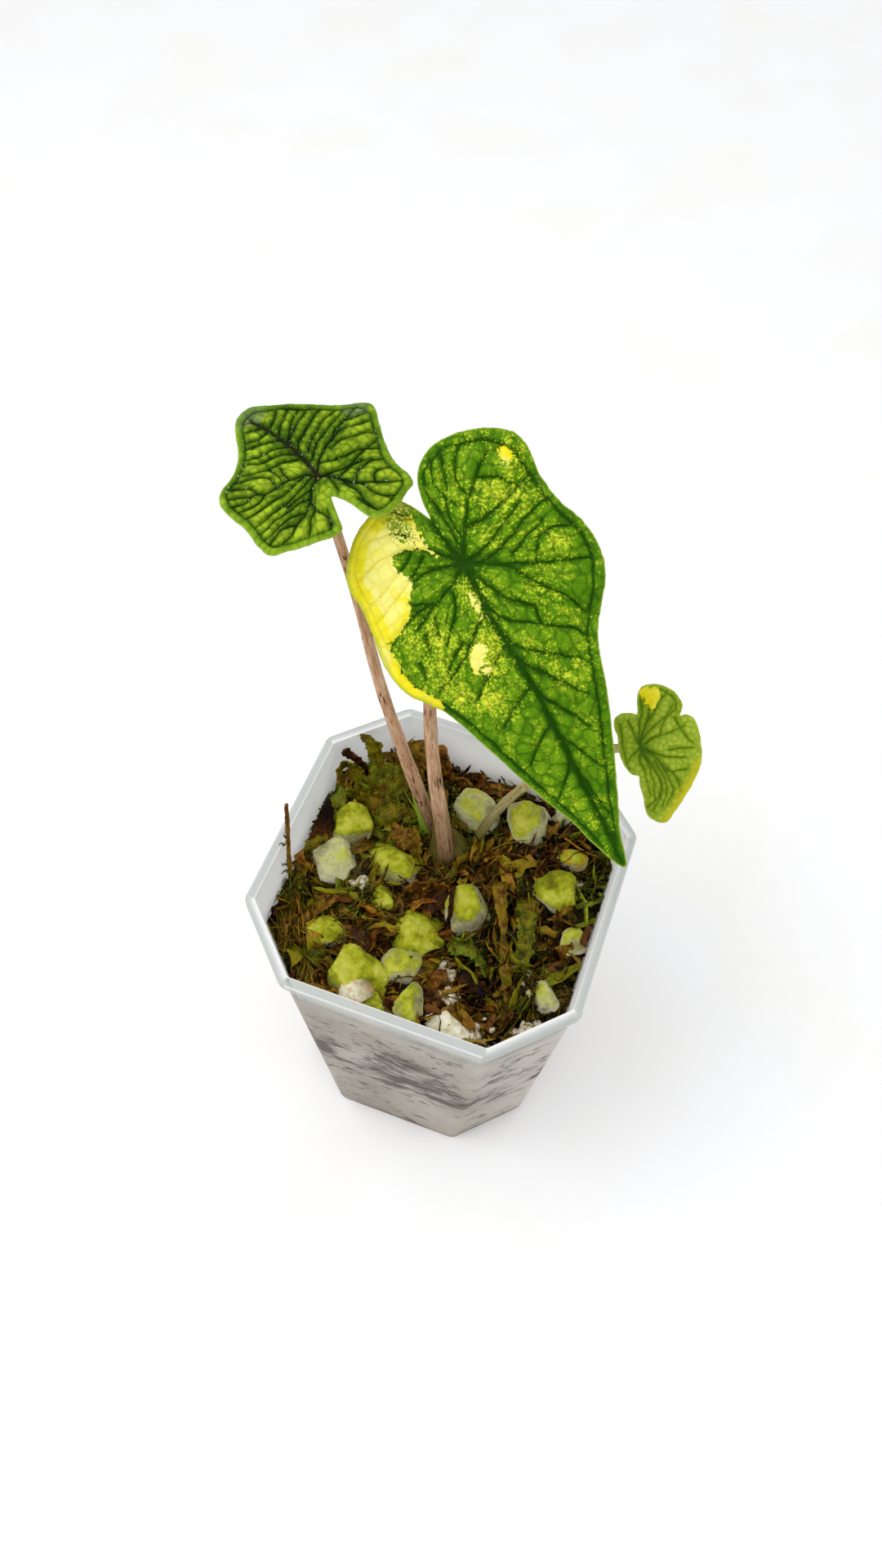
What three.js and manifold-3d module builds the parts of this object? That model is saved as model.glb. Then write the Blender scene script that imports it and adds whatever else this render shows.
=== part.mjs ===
// A young variegated alocasia tandurusa in a frosted clear nursery pot with cut corners.
// Millimetres, +Z up. The origin is the centre of the pot's foot, X and Y run along the pot's flats,
// and the plant is seen from the front when looking along +Y.
import * as THREE from 'three';
import { mergeVertices } from 'three/addons/utils/BufferGeometryUtils.js';
import Module from 'manifold-3d';

const wasm = await Module();
wasm.setup();

// Pot: an 80 mm square with its corners cut, tapering to the foot
const POT_HEIGHT = 96;
const LIP_ACROSS = 80;
const LIP_FLAT = 48;
const LIP_OVERHANG = 1.2;
const LIP_DEPTH = 2.2;
const LIP_ROUND = 0.4;
const FOOT_ACROSS = 65;
const FOOT_FLAT = 34;
const FOOT_BEVEL = 0.8;
const WALL = 1;
const FLOOR = 1.4;
const CORNER_ROUND = 2;
const DRAIN_RADIUS = 3;
const DRAIN_OFFSET = 18;
const DRAIN_SIDES = 20;

// Growing mix: moss, bark and pumice lumps, filled to a finger's breadth under the lip
const GAP = 0.3;
const MIX_HEIGHT = 82;
const MIX_EDGE_HEIGHT = 79.5;
const MIX_SIDES = 48;
const MIX_TOP_RINGS = [0.93, 0.82, 0.7, 0.58, 0.45, 0.32, 0.2, 0.08];
const STONE_ROUGHNESS = 0.16;
const LOOSE_STRANDS = 30;
const STRAND_LENGTH = [6, 12];
const STRAND_LIFT = [1.5, 4];
const STRAND_RADIUS = [0.7, 1.2];
const STRAND_ROOT = 2.5;
const MIX_SEED = 11;
const SMALLEST_DETAIL = 0.1;

// Pumice lumps: x, y, length, width, height, turn in degrees, and how far the middle stands above the mix
const STONES = [
  [-27.6, 8.7, 9, 8, 10, 20, 2.0],
  [-27.3, -1.5, 9, 9, 8, 50, 1.5],
  [-14.7, 3.2, 12, 8, 7, -10, 1.5],
  [-0.6, 24.6, 12, 10, 10, -15, 1.5],
  [12.9, 25.2, 9, 8, 10, 80, 2.0],
  [25.1, 9.6, 10, 9, 9, 30, 2.5],
  [-13.0, -7.2, 9, 7, 6, -25, 1.5],
  [-3.6, -12.4, 11, 10, 9, -20, 2.0],
  [6.9, -2.0, 8, 9, 9, 15, 2.5],
  [-22.4, -19.4, 8, 7, 7, 35, 2.0],
  [-11.2, -25.2, 12, 10, 12, 15, 3.0],
  [-12.2, -32.2, 7, 6, 6, 10, 3.0],
  [-5.4, -32.6, 8, 6, 7, -30, 1.5],
  [-1.8, -21.4, 8, 8, 7, 60, 2.0],
  [2.2, -29.6, 6, 9, 7, 15, 2.0],
  [12.0, -31.4, 11, 7, 5, -10, 1.5],
  [32.8, -2.7, 5, 5, 5, 0, 2.0],
  [30.2, -17.0, 6, 6, 6, 40, 2.0],
  [27.0, 19.6, 6, 5, 5, 20, 2.0],
  [21.0, 31.0, 8, 7, 7, 70, 1.5],
];

// Leaf stalks, from the buried end up to the back of the blade; radii are spread evenly along each
const STALK_LEFT = {
  points: [[-3.4, 12.9, 66], [-6.6, 14.2, 82], [-11.1, 15.2, 95], [-17.7, 17.2, 114], [-23.1, 19.1, 131.3],
    [-28.9, 21.8, 154.5], [-33.2, 23.6, 169], [-36.6, 25.0, 178.7]],
  radii: [2.1, 1.95, 1.7, 1.4, 1.15, 1.0],
  steps: 20,
};
const STALK_CENTRE = {
  points: [[-0.2, 4.6, 66], [-1.4, 6.8, 82], [-5.3, 11.7, 97.3], [-8.6, 15.2, 110.2], [-11.6, 19.4, 129.4],
    [-11.9, 22.6, 144], [-10.1, 25.2, 158], [-7.0, 24.1, 169.0]],
  radii: [2.6, 2.4, 1.9, 1.6, 1.35, 1.15],
  steps: 20,
};
const STALK_RIGHT = {
  points: [[0.8, 13.2, 68], [2.6, 15.5, 82.8], [6.0, 19.4, 94], [12.3, 22.8, 105.5], [23.9, 25.6, 120.5],
    [33.9, 25.1, 129.0]],
  radii: [1.3, 1.2, 1.15, 1.05, 0.95],
  steps: 18,
};

// Leaf blades: the junction with the stalk, the way the face looks, the way the midrib runs, the outline
// as [along, across] from the junction, anticlockwise from the tip, and the relief over a flat sheet
const BLADE_THICKNESS = 0.8;
const BLADE_RINGS = [0.3, 0.58, 0.82, 1];
const POINTS_PER_NODE = 2;
const LEAF_CENTRE = {
  junction: [-7.0, 23.2, 170],
  facing: [-0.005, -0.692, 0.722],
  midrib: [0.721, -0.503, -0.477],
  outline: [[65.7, -2.6], [59, 0], [52, 3.4], [44.5, 6.9], [37.7, 9.8], [32, 12.1], [26.6, 13.8],
    [22.6, 15.7], [19.6, 18], [16.2, 20.7], [12.8, 22.4], [8.8, 23], [4.1, 22.6], [-0.6, 20.9], [-6.7, 20],
    [-12.4, 20.5], [-15.8, 19.8], [-18.5, 17.2], [-20.8, 13.1], [-22, 8.7], [-22, 4.9], [-20.4, 1.7], [-17.9, -0.2],
    [-14, -1.1], [-10.6, -1.4], [-12.8, -2.5], [-14.8, -3.6], [-16.6, -5], [-17.5, -7.7], [-17.2, -11.5],
    [-15.9, -15.2], [-13.2, -18.8], [-10.2, -21.5], [-7, -22.3], [-3.1, -21.9], [2.4, -22.6], [7.7, -23.8],
    [12, -23.5], [15.8, -22.1], [18.6, -20], [22.6, -17.3], [32.5, -13.6], [40, -11.3], [47.2, -8.9],
    [52.5, -6.9], [58.8, -5.4]],
  relief: (u, v) => 0.1 * Math.abs(v) - 0.0085 * v * v - 0.0016 * Math.max(u, 0) ** 2
    - 0.004 * Math.min(u, 0) ** 2 + 0.35 * Math.sin(0.42 * u + 1) * Math.abs(v / 24),
};
const LEAF_LEFT = {
  junction: [-36.9, 24.9, 180],
  facing: [0.1, -0.22, 0.97],
  midrib: [-0.81, 0.55, 0.21],
  outline: [[20.9, 1.8], [20.2, 5.2], [17.2, 7.2], [13.9, 8.6], [10.7, 10.8], [8.9, 12.9], [7.4, 16],
    [6, 17.3], [3.9, 17.7], [1.2, 17.2], [-2.2, 16.3], [-5.6, 16.2], [-8.3, 15.5], [-9.6, 12.8], [-10.8, 9.6],
    [-11.3, 7.2], [-11.8, 4.4], [-11.4, 2.1], [-8.9, 1.3], [-6.5, 0.7], [-4.7, 0], [-6, -1.2], [-8.1, -2.4],
    [-10.4, -3.2], [-12.2, -4.1], [-13.1, -6], [-13, -8.3], [-12.2, -10.5], [-11, -12.4], [-10, -14.5],
    [-7.9, -15.1], [-5.4, -14.5], [-2.4, -14.4], [0.8, -15.2], [4.2, -16.4], [7.2, -17.6], [9, -17.8],
    [10.2, -16.6], [12, -13], [14, -10.4], [16.3, -6.8], [18.9, -1.7]],
  relief: (u, v) => {
    const r = Math.hypot(u, v);
    return 0.02 * Math.abs(v) - 0.006 * r * r + 0.03 * r * Math.cos(5 * Math.atan2(v, u));
  },
};
const LEAF_RIGHT = {
  junction: [34.3, 24.3, 130],
  facing: [0.25, -0.6, 0.76],
  midrib: [0.933, 0.359, -0.024],
  outline: [[12.7, -1], [12.2, 1.7], [11.6, 4.3], [10.7, 6.3], [9.4, 6.9], [8.1, 6.7], [8.4, 8], [8.4, 9.3],
    [7.5, 10.8], [6, 12.2], [4, 13], [2.1, 13.1], [0.4, 12.6], [-0.6, 11.4], [-0.9, 9.6], [-1, 6.8],
    [-2.6, 7], [-4.2, 6.9], [-5.4, 5.8], [-5.6, 4], [-4.9, 1.9], [-4.6, -0.6], [-3.8, -3.1], [-2.6, -5],
    [-1.2, -6], [-0.1, -6.2], [0.2, -7.9], [0.8, -9.6], [1.4, -11.2], [1.7, -12.8], [2.5, -14.7], [4, -16],
    [5.7, -16.7], [7.3, -16.4], [8.2, -14.5], [9.2, -12.5], [9.9, -10.4], [11, -7.8], [12, -5.4],
    [12.7, -3.2]],
  relief: (u, v) => {
    const r = Math.hypot(u, v);
    const turn = Math.atan2(v, u);
    return 0.011 * r * r * Math.cos(2 * turn) - 0.03 * Math.min(u, 0) ** 2 + 0.04 * r * Math.sin(7 * turn);
  },
};

// Crown: the short olive-brown stem that the stalks grow from, as [x, y, z, radius] up its middle,
// with the pale green tip of an old leaf sheath beside the left stalk
const CROWN_RINGS = [[-1.5, 10, 64, 3], [-1.5, 10.2, 70, 6], [-1.8, 10.6, 78, 7.2], [-2.4, 11, 83, 6.6],
  [-3.8, 11.8, 87, 5], [-5.4, 12.6, 90.5, 3], [-6.4, 13.2, 93, 1.2]];
const CROWN_SIDES = 16;
const SHEATH = { points: [[-8.4, 12, 80], [-10.4, 13.8, 88], [-12.3, 15, 92.5], [-14.4, 16.6, 97]],
  radii: [1.6, 1.5, 1.1, 0.4], flat: 0.4, sides: 6, steps: 8 };

// Moss: hand-placed strands of the tall sprig at the back left
const SPRIG_STRANDS = [
  { points: [[-24.5, 17, 76], [-26, 21.5, 84], [-26.8, 25.2, 90], [-27.9, 26.6, 94.5], [-29.8, 27, 96.4],
    [-32, 26.6, 94.8]], radii: [1.6, 1.8, 1.5, 1.3, 1.1, 0.5], flat: 0.45 },
  { points: [[-25, 18, 78], [-28.6, 23.6, 85.5], [-32.4, 23.4, 91], [-35, 22.2, 95]],
    radii: [1.0, 0.9, 0.8, 0.5], flat: 0.8 },
  { points: [[-26, 18, 78], [-29, 20.8, 87], [-31.6, 21.8, 91], [-34, 21, 92], [-35, 19, 90.6],
    [-33.6, 17.4, 88.2]], radii: [1.3, 1.3, 1.2, 1.0, 0.9, 0.5], flat: 0.5 },
  { points: [[-27, 15, 77], [-28.3, 15.6, 84], [-24.2, 19.4, 88], [-18.7, 22, 88.4], [-15.6, 22.6, 85]],
    radii: [1.8, 2.4, 3.0, 2.6, 1.0], flat: 0.35 },
  { points: [[-24, 14, 76], [-25.5, 16, 86], [-29, 17, 90], [-31.5, 15.6, 88.5]],
    radii: [1.6, 1.6, 1.3, 0.5], flat: 0.5 },
];
const SPRIG_ROOT = { points: [[-24.2, 15, 72], [-24.6, 16.5, 78], [-25.4, 18, 84]], radii: [2.4, 3.4, 2.2],
  sides: 8, steps: 6 };

// Curled brown moss behind the stalks, bark shreds and sticks that lie on the mix, rooted in it
const MIX_STRANDS = [
  { points: [[-19, 26, 77], [-21.8, 28.6, 86], [-21, 31, 90], [-18.6, 32.6, 92], [-16.8, 31.6, 89]],
    radii: [1.8, 1.6, 1.5, 1.3, 0.6], flat: 0.5 },
  { points: [[-16, 28, 77], [-15.4, 30.6, 87], [-13.2, 32.4, 90.5], [-11, 32, 88.6], [-10, 30.4, 85.4]],
    radii: [1.8, 1.7, 1.6, 1.3, 0.6], flat: 0.5 },
  { points: [[-14, 27, 77], [-17.6, 29.4, 87], [-17, 32.2, 92.6], [-14.4, 32.8, 92]],
    radii: [1.6, 1.6, 1.4, 0.6], flat: 0.5 },
  { points: [[-8.6, 29, 80], [-8.3, 31, 85.5], [-5.1, 31.4, 87.4], [-3, 30.8, 84]],
    radii: [0.9, 1.2, 1.1, 0.7], flat: 0.8 },
  { points: [[-2, 30.8, 82], [1.2, 31.6, 87], [4, 31.8, 87.4], [7.4, 30.8, 83]],
    radii: [0.8, 1.0, 0.9, 0.6], flat: 0.8 },
  { points: [[11.6, 7.4, 82], [12.8, 4.4, 87], [16.3, -4.4, 87.4], [19.8, -13.6, 86.2], [22.6, -20.4, 84],
    [25.2, -27, 80.5]], radii: [1.4, 1.5, 1.3, 1.1, 1.0, 0.8], flat: 0.5, steps: 12 },
  { points: [[17.4, 6, 82], [19.8, 2, 86], [22.2, -5, 86], [23.4, -12, 82]],
    radii: [1.4, 1.5, 1.4, 0.8], flat: 0.5 },
  { points: [[-27.6, -18, 82], [-26.4, -16.6, 85], [-22.8, -12.6, 88]], radii: [1.0, 1.1, 0.8], flat: 0.8 },
  { points: [[2.2, 1.6, 84], [2.6, -1, 89], [3.4, -4.7, 90], [4.8, -10, 84.6]], radii: [0.6, 0.6, 0.6, 0.5] },
  { points: [[-7, -3.4, 82], [-5.2, -2.4, 86], [0, -1, 86.4], [2, -3.4, 83]],
    radii: [2.0, 2.8, 2.6, 1.4], flat: 0.4 },
  { points: [[7, -10, 82], [8.3, -13.6, 86.6], [13, -14.6, 88.6], [17.9, -18.6, 85]],
    radii: [1.6, 2.0, 1.8, 0.8], flat: 0.45 },
  { points: [[8, -19, 82], [12, -19.6, 86.4], [17, -22, 85.6], [20.6, -26, 81]],
    radii: [1.4, 1.6, 1.4, 0.8], flat: 0.45 },
];

// Twig that leans up past the lip on the left, with a tuft of moss leaves at the height of the lip
const TWIG = { points: [[-34.9, -12, 72], [-35.6, -10.4, 82], [-36.2, -7.4, 97], [-36.7, -4.6, 110]],
  radii: [0.6, 0.55, 0.5, 0.45], sides: 6, steps: 10 };
const TWIG_TUFT = [
  { points: [[-36.2, -7.4, 97.2], [-37.4, -7.2, 98.2], [-39, -7.2, 98.4]],
    radii: [0.5, 0.8, 0.3], flat: 0.6 },
  { points: [[-36.1, -7.6, 96.8], [-36.9, -9, 98], [-38.2, -9.8, 98.8]], radii: [0.5, 0.8, 0.3], flat: 0.6 },
];
const BARK = { points: [[-32.6, 0.6, 76], [-33.2, 3.4, 83], [-33, 6.4, 89], [-32.6, 8.4, 93]],
  radii: [2.2, 2.8, 1.9, 0.8], flat: 0.45, sides: 6, steps: 8 };
const STICK = { points: [[35, -8, 76], [35.6, -4.6, 83], [35.8, -0.4, 92]], radii: [0.7, 0.7, 0.5],
  sides: 6, steps: 6 };

function vector(p) {
  return new THREE.Vector3(...p);
}

// A repeatable random number between 0 and 1
function makeRandom(seed) {
  let state = seed;
  return () => {
    state = (state * 16807) % 2147483647;
    return state / 2147483647;
  };
}

// The value at t between 0 and 1 in a list whose values are spread evenly
function along(values, t) {
  const place = t * (values.length - 1);
  const low = Math.min(Math.floor(place), values.length - 2);
  return THREE.MathUtils.lerp(values[low], values[low + 1], place - low);
}

function geometryFrom(positions, indices) {
  const geometry = new THREE.BufferGeometry();
  geometry.setAttribute('position', new THREE.Float32BufferAttribute(positions, 3));
  geometry.setIndex(indices);
  return geometry;
}

// A closed solid through rings of equally many points, each ring anticlockwise seen from the end
function loft(rings) {
  const sides = rings[0].length;
  const positions = rings.flat().flatMap((p) => [p.x, p.y, p.z]);
  const indices = [];
  for (let i = 0; i + 1 < rings.length; i++) {
    for (let j = 0; j < sides; j++) {
      const a = i * sides + j;
      const b = i * sides + (j + 1) % sides;
      indices.push(a, b, b + sides, a, b + sides, a + sides);
    }
  }
  const last = (rings.length - 1) * sides;
  for (let j = 1; j + 1 < sides; j++) {
    indices.push(0, j + 1, j, last, last + j, last + j + 1);
  }
  return geometryFrom(positions, indices);
}

function toSolid(geometry) {
  const bare = new THREE.BufferGeometry();
  bare.setAttribute('position', geometry.getAttribute('position'));
  if (geometry.index) bare.setIndex(geometry.index);
  const merged = mergeVertices(bare, 1e-4);
  return new wasm.Manifold(new wasm.Mesh({
    numProp: 3,
    vertProperties: Float32Array.from(merged.getAttribute('position').array),
    triVerts: Uint32Array.from(merged.index.array),
  }));
}

function toGeometry(solid) {
  const mesh = solid.getMesh();
  return geometryFrom(mesh.vertProperties, Array.from(mesh.triVerts));
}

// The largest of the bodies that cutting may have left
function largestBody(solid) {
  const bodies = solid.decompose();
  return bodies.reduce((best, body) => (body.volume() > best.volume() ? body : best));
}

// A tube along a smooth path, with a round or flattened section; grow widens it all over for a hole
function stalk({ points, radii, sides = 4, steps = 7, flat = 1 }, grow = 0) {
  const curve = new THREE.CatmullRomCurve3(points.map(vector));
  const frames = curve.computeFrenetFrames(steps);
  const rings = [];
  for (let i = 0; i <= steps; i++) {
    const t = i / steps;
    const centre = curve.getPointAt(t);
    if (i === 0) centre.addScaledVector(frames.tangents[i], -grow);
    if (i === steps) centre.addScaledVector(frames.tangents[i], grow);
    const wide = along(radii, t) + grow;
    const thin = along(radii, t) * flat + grow;
    rings.push(ellipse(centre, frames.normals[i], frames.binormals[i], wide, thin, sides));
  }
  return loft(rings);
}

function ellipse(centre, axisA, axisB, radiusA, radiusB, sides) {
  const ring = [];
  for (let j = 0; j < sides; j++) {
    const angle = (2 * Math.PI * j) / sides;
    ring.push(centre.clone()
      .addScaledVector(axisA, radiusA * Math.cos(angle))
      .addScaledVector(axisB, radiusB * Math.sin(angle)));
  }
  return ring;
}

// Half the distance across flats and half the long side of the pot's outside at height z
function potSection(z, inset) {
  const t = z / POT_HEIGHT;
  const cornerShift = Math.tan(Math.PI / 8);
  const wallAcross = LIP_ACROSS - 2 * LIP_OVERHANG;
  const wallFlat = LIP_FLAT - 2 * LIP_OVERHANG * cornerShift;
  return {
    across: THREE.MathUtils.lerp(FOOT_ACROSS, wallAcross, t) / 2 - inset,
    flat: THREE.MathUtils.lerp(FOOT_FLAT, wallFlat, t) / 2 - inset * cornerShift,
  };
}

// The pot's outline at height z, moved inwards by inset, each corner softened by a short curve
function potRing(z, inset) {
  const { across, flat } = potSection(z, inset);
  const oneSide = [new THREE.Vector2(across, -flat), new THREE.Vector2(across, flat)];
  const corners = [0, 1, 2, 3].flatMap((quarter) => oneSide.map((corner) =>
    corner.clone().rotateAround(new THREE.Vector2(), quarter * Math.PI / 2)));
  return corners.flatMap((corner, i) => {
    const before = corners[(i + 7) % 8].clone().sub(corner).setLength(CORNER_ROUND).add(corner);
    const after = corners[(i + 1) % 8].clone().sub(corner).setLength(CORNER_ROUND).add(corner);
    const middle = before.clone().add(after).multiplyScalar(0.25).addScaledVector(corner, 0.5);
    return [before, middle, after].map((p) => new THREE.Vector3(p.x, p.y, z));
  });
}

function makePot() {
  const lipBottom = POT_HEIGHT - LIP_DEPTH;
  const rings = [
    potRing(0, FOOT_BEVEL),
    potRing(FOOT_BEVEL, 0),
    potRing(lipBottom, 0),
    potRing(lipBottom, -LIP_OVERHANG),
    potRing(POT_HEIGHT - LIP_ROUND, -LIP_OVERHANG),
    potRing(POT_HEIGHT, LIP_ROUND - LIP_OVERHANG),
    potRing(POT_HEIGHT, WALL - LIP_ROUND),
    potRing(POT_HEIGHT - LIP_ROUND, WALL),
    potRing(FLOOR, WALL),
  ];
  let pot = toSolid(loft(rings));
  for (const x of [-DRAIN_OFFSET, DRAIN_OFFSET]) {
    for (const y of [-DRAIN_OFFSET, DRAIN_OFFSET]) {
      const drain = new THREE.CylinderGeometry(DRAIN_RADIUS, DRAIN_RADIUS, 4 * FLOOR, DRAIN_SIDES);
      pot = pot.subtract(toSolid(drain.rotateX(Math.PI / 2).translate(x, y, 0)));
    }
  }
  return toGeometry(pot);
}

// How far the eight-sided inside of the pot reaches from its axis, in the direction of an angle
function reachInside(angle, z) {
  const { across, flat } = potSection(z, WALL + GAP);
  const chamfer = (across + flat) / Math.SQRT2;
  let reach = Infinity;
  for (let side = 0; side < 8; side++) {
    const facing = Math.cos(angle - side * Math.PI / 4);
    const distance = side % 2 === 0 ? across : chamfer;
    if (facing > 0.1) reach = Math.min(reach, distance / facing);
  }
  return reach;
}

function mixRing(z, fraction, height) {
  const ring = [];
  for (let j = 0; j < MIX_SIDES; j++) {
    const angle = (2 * Math.PI * j) / MIX_SIDES;
    const reach = reachInside(angle, z) * fraction;
    const x = reach * Math.cos(angle);
    const y = reach * Math.sin(angle);
    ring.push(new THREE.Vector3(x, y, height ? height(x, y) : z));
  }
  return ring;
}

// The hummocky top of the mix: swells about 30 mm apart with smaller ones between
function mixHeight(x, y) {
  return MIX_HEIGHT + 1.3 * Math.sin(0.21 * x + 1.3) * Math.cos(0.18 * y - 0.4)
    + 0.8 * Math.sin(0.47 * x - 0.31 * y + 2) + 0.4 * Math.cos(0.83 * x + 0.67 * y);
}

function mixBody() {
  const bottom = FLOOR + GAP;
  const rings = [mixRing(bottom, 1), mixRing(MIX_EDGE_HEIGHT, 1)];
  for (const fraction of MIX_TOP_RINGS) {
    rings.push(mixRing(MIX_EDGE_HEIGHT, fraction, mixHeight));
  }
  return toSolid(loft(rings));
}

// One pumice lump: a faceted ball with every corner pushed in or out
function stone([x, y, length, width, height, turn, rise], random) {
  const bare = new THREE.IcosahedronGeometry(0.5, 1).deleteAttribute('normal').deleteAttribute('uv');
  const ball = mergeVertices(bare, 1e-3);
  const position = ball.getAttribute('position');
  for (let i = 0; i < position.count; i++) {
    const push = 1 + STONE_ROUGHNESS * (2 * random() - 1);
    position.setXYZ(i, position.getX(i) * push, position.getY(i) * push, position.getZ(i) * push);
  }
  ball.scale(length, width, height);
  ball.rotateZ(THREE.MathUtils.degToRad(turn));
  ball.translate(x, y, mixHeight(x, y) + rise);
  return toSolid(ball);
}

// A loose strand of moss that rises out of the mix, arches over and comes to rest on it
function looseStrand(random) {
  const angle = 2 * Math.PI * random();
  const out = reachInside(angle, MIX_HEIGHT) * Math.sqrt(random()) * 0.94;
  const x = out * Math.cos(angle);
  const y = out * Math.sin(angle);
  const heading = 2 * Math.PI * random();
  const length = THREE.MathUtils.lerp(...STRAND_LENGTH, random());
  const lift = THREE.MathUtils.lerp(...STRAND_LIFT, random());
  const bend = 0.3 * length * (random() - 0.5);
  const step = (share, aside, above) => {
    const px = x + share * length * Math.cos(heading) - aside * Math.sin(heading);
    const py = y + share * length * Math.sin(heading) + aside * Math.cos(heading);
    return [px, py, mixHeight(px, py) + above];
  };
  const rising = [step(0, 0, -STRAND_ROOT), step(0.25, bend, 0.8 * lift)];
  const points = [...rising, step(0.6, bend, lift), step(1, 0, 0.2)];
  const radius = THREE.MathUtils.lerp(...STRAND_RADIUS, random());
  return toSolid(stalk({ points, radii: [radius, radius, 0.9 * radius, 0.4], flat: 0.55, steps: 5 }));
}

function makeMix(neighbours) {
  const random = makeRandom(MIX_SEED);
  const parts = [mixBody()];
  for (const lump of STONES) parts.push(stone(lump, random));
  for (const strand of MIX_STRANDS) parts.push(toSolid(stalk(strand)));
  for (let i = 0; i < LOOSE_STRANDS; i++) parts.push(looseStrand(random));
  let mix = parts.reduce((whole, part) => whole.add(part));
  const space = toSolid(loft([mixRing(FLOOR + GAP, 1), mixRing(POT_HEIGHT, 1)]));
  mix = mix.intersect(space);
  for (const neighbour of neighbours) mix = mix.subtract(neighbour);
  return toGeometry(largestBody(mix).simplify(SMALLEST_DETAIL));
}

function crownBody(grow = 0) {
  const rings = CROWN_RINGS.map(([x, y, z, radius], i) => {
    const lift = i === 0 ? -grow : grow;
    const centre = new THREE.Vector3(x, y, z + lift);
    return ellipse(centre, vector([1, 0, 0]), vector([0, 1, 0]), radius + grow, radius + grow, CROWN_SIDES);
  });
  return toSolid(loft(rings)).add(toSolid(stalk(SHEATH, grow)));
}

function sprigBody(grow = 0) {
  const root = toSolid(stalk(SPRIG_ROOT, grow));
  return SPRIG_STRANDS.reduce((whole, strand) => whole.add(toSolid(stalk(strand, grow))), root);
}

function twigBody(grow = 0) {
  const stem = toSolid(stalk(TWIG, grow));
  return TWIG_TUFT.reduce((whole, leaf) => whole.add(toSolid(stalk({ ...leaf, steps: 3 }, grow))), stem);
}

// A blade of even thickness: rings of its outline drawn in towards the junction, alike on both faces
function makeBlade({ outline, relief }) {
  const nodes = outline.map(([u, v]) => new THREE.Vector3(u, v, 0));
  const curve = new THREE.CatmullRomCurve3(nodes, true, 'centripetal');
  const edge = curve.getPoints(outline.length * POINTS_PER_NODE).slice(0, -1);
  const face = [[0, 0], ...BLADE_RINGS.flatMap((share) => edge.map((p) => [share * p.x, share * p.y]))];
  const positions = [BLADE_THICKNESS / 2, -BLADE_THICKNESS / 2].flatMap((lift) =>
    face.flatMap(([u, v]) => [u, v, relief(u, v) + lift]));
  const under = face.length;
  const indices = [];
  const bothFaces = (a, b, c) => indices.push(a, b, c, under + a, under + c, under + b);
  for (let j = 0; j < edge.length; j++) {
    const next = (j + 1) % edge.length;
    bothFaces(0, 1 + j, 1 + next);
    for (let ring = 0; ring + 1 < BLADE_RINGS.length; ring++) {
      const inner = 1 + ring * edge.length;
      const outer = inner + edge.length;
      bothFaces(inner + j, outer + j, outer + next);
      bothFaces(inner + j, outer + next, inner + next);
    }
    const rim = 1 + (BLADE_RINGS.length - 1) * edge.length;
    indices.push(rim + j, under + rim + j, under + rim + next, rim + j, under + rim + next, rim + next);
  }
  return geometryFrom(positions, indices);
}

const group = new THREE.Group();

function addMesh(name, geometry, color, roughness, more = {}) {
  geometry.computeVertexNormals();
  const material = new THREE.MeshStandardMaterial({ color, roughness, metalness: 0, ...more });
  const mesh = new THREE.Mesh(geometry, material);
  mesh.name = name;
  group.add(mesh);
  return mesh;
}

function addLeaf(name, leaf, color) {
  const mesh = addMesh(name, makeBlade(leaf), color, 0.45);
  const facing = vector(leaf.facing).normalize();
  const midrib = vector(leaf.midrib).projectOnPlane(facing).normalize();
  const across = facing.clone().cross(midrib);
  mesh.quaternion.setFromRotationMatrix(new THREE.Matrix4().makeBasis(midrib, across, facing));
  mesh.position.copy(vector(leaf.junction));
}

const stalks = [STALK_LEFT, STALK_CENTRE, STALK_RIGHT].map((path) => ({ ...path, sides: 10 }));
const stalkHoles = stalks.map((path) => toSolid(stalk(path, GAP)));
const withoutStalks = (solid) => largestBody(stalkHoles.reduce((left, hole) => left.subtract(hole), solid));

const mixHoles = [...stalkHoles, crownBody(GAP), sprigBody(GAP), twigBody(GAP)];
for (const path of [BARK, STICK]) mixHoles.push(toSolid(stalk(path, GAP)));

addMesh('pot', makePot(), 0xe4e6e3, 0.35, { transparent: true, opacity: 0.55 });
addMesh('growing_mix', makeMix(mixHoles), 0x6b5420, 0.95);
addMesh('crown', toGeometry(withoutStalks(crownBody())), 0x6a6426, 0.7);
addMesh('moss_sprig', toGeometry(withoutStalks(sprigBody())), 0x77701c, 0.9);
addMesh('twig', toGeometry(twigBody()), 0x7a4a22, 0.8);
addMesh('bark_shred', stalk(BARK), 0x4a2f18, 0.9);
addMesh('stick', stalk(STICK), 0x7c2f1c, 0.8);
addMesh('petiole_left', stalk(stalks[0]), 0xb58d78, 0.55);
addMesh('petiole_centre', stalk(stalks[1]), 0xb58d78, 0.55);
addMesh('petiole_right', stalk(stalks[2]), 0xa8a06a, 0.55);
addLeaf('leaf_left', LEAF_LEFT, 0x3f7a1c);
addLeaf('leaf_centre', LEAF_CENTRE, 0x4c8a1e);
addLeaf('leaf_right', LEAF_RIGHT, 0x82a81f);

export default group;
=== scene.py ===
# %% [markdown]
# # A young variegated alocasia in a frosted nursery pot
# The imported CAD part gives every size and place. This script dresses it: fine leaf blades with veins and
# cream patches, ribbed stalks, a bed of moss, bark and pumice, and a frosted pot. Lengths are written in
# millimetres, as in the part's source, and are turned to Blender's metres when a piece is finished.

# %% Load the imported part
import math

import bpy
import numpy as np
from mathutils import Matrix, Quaternion, Vector, noise


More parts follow.
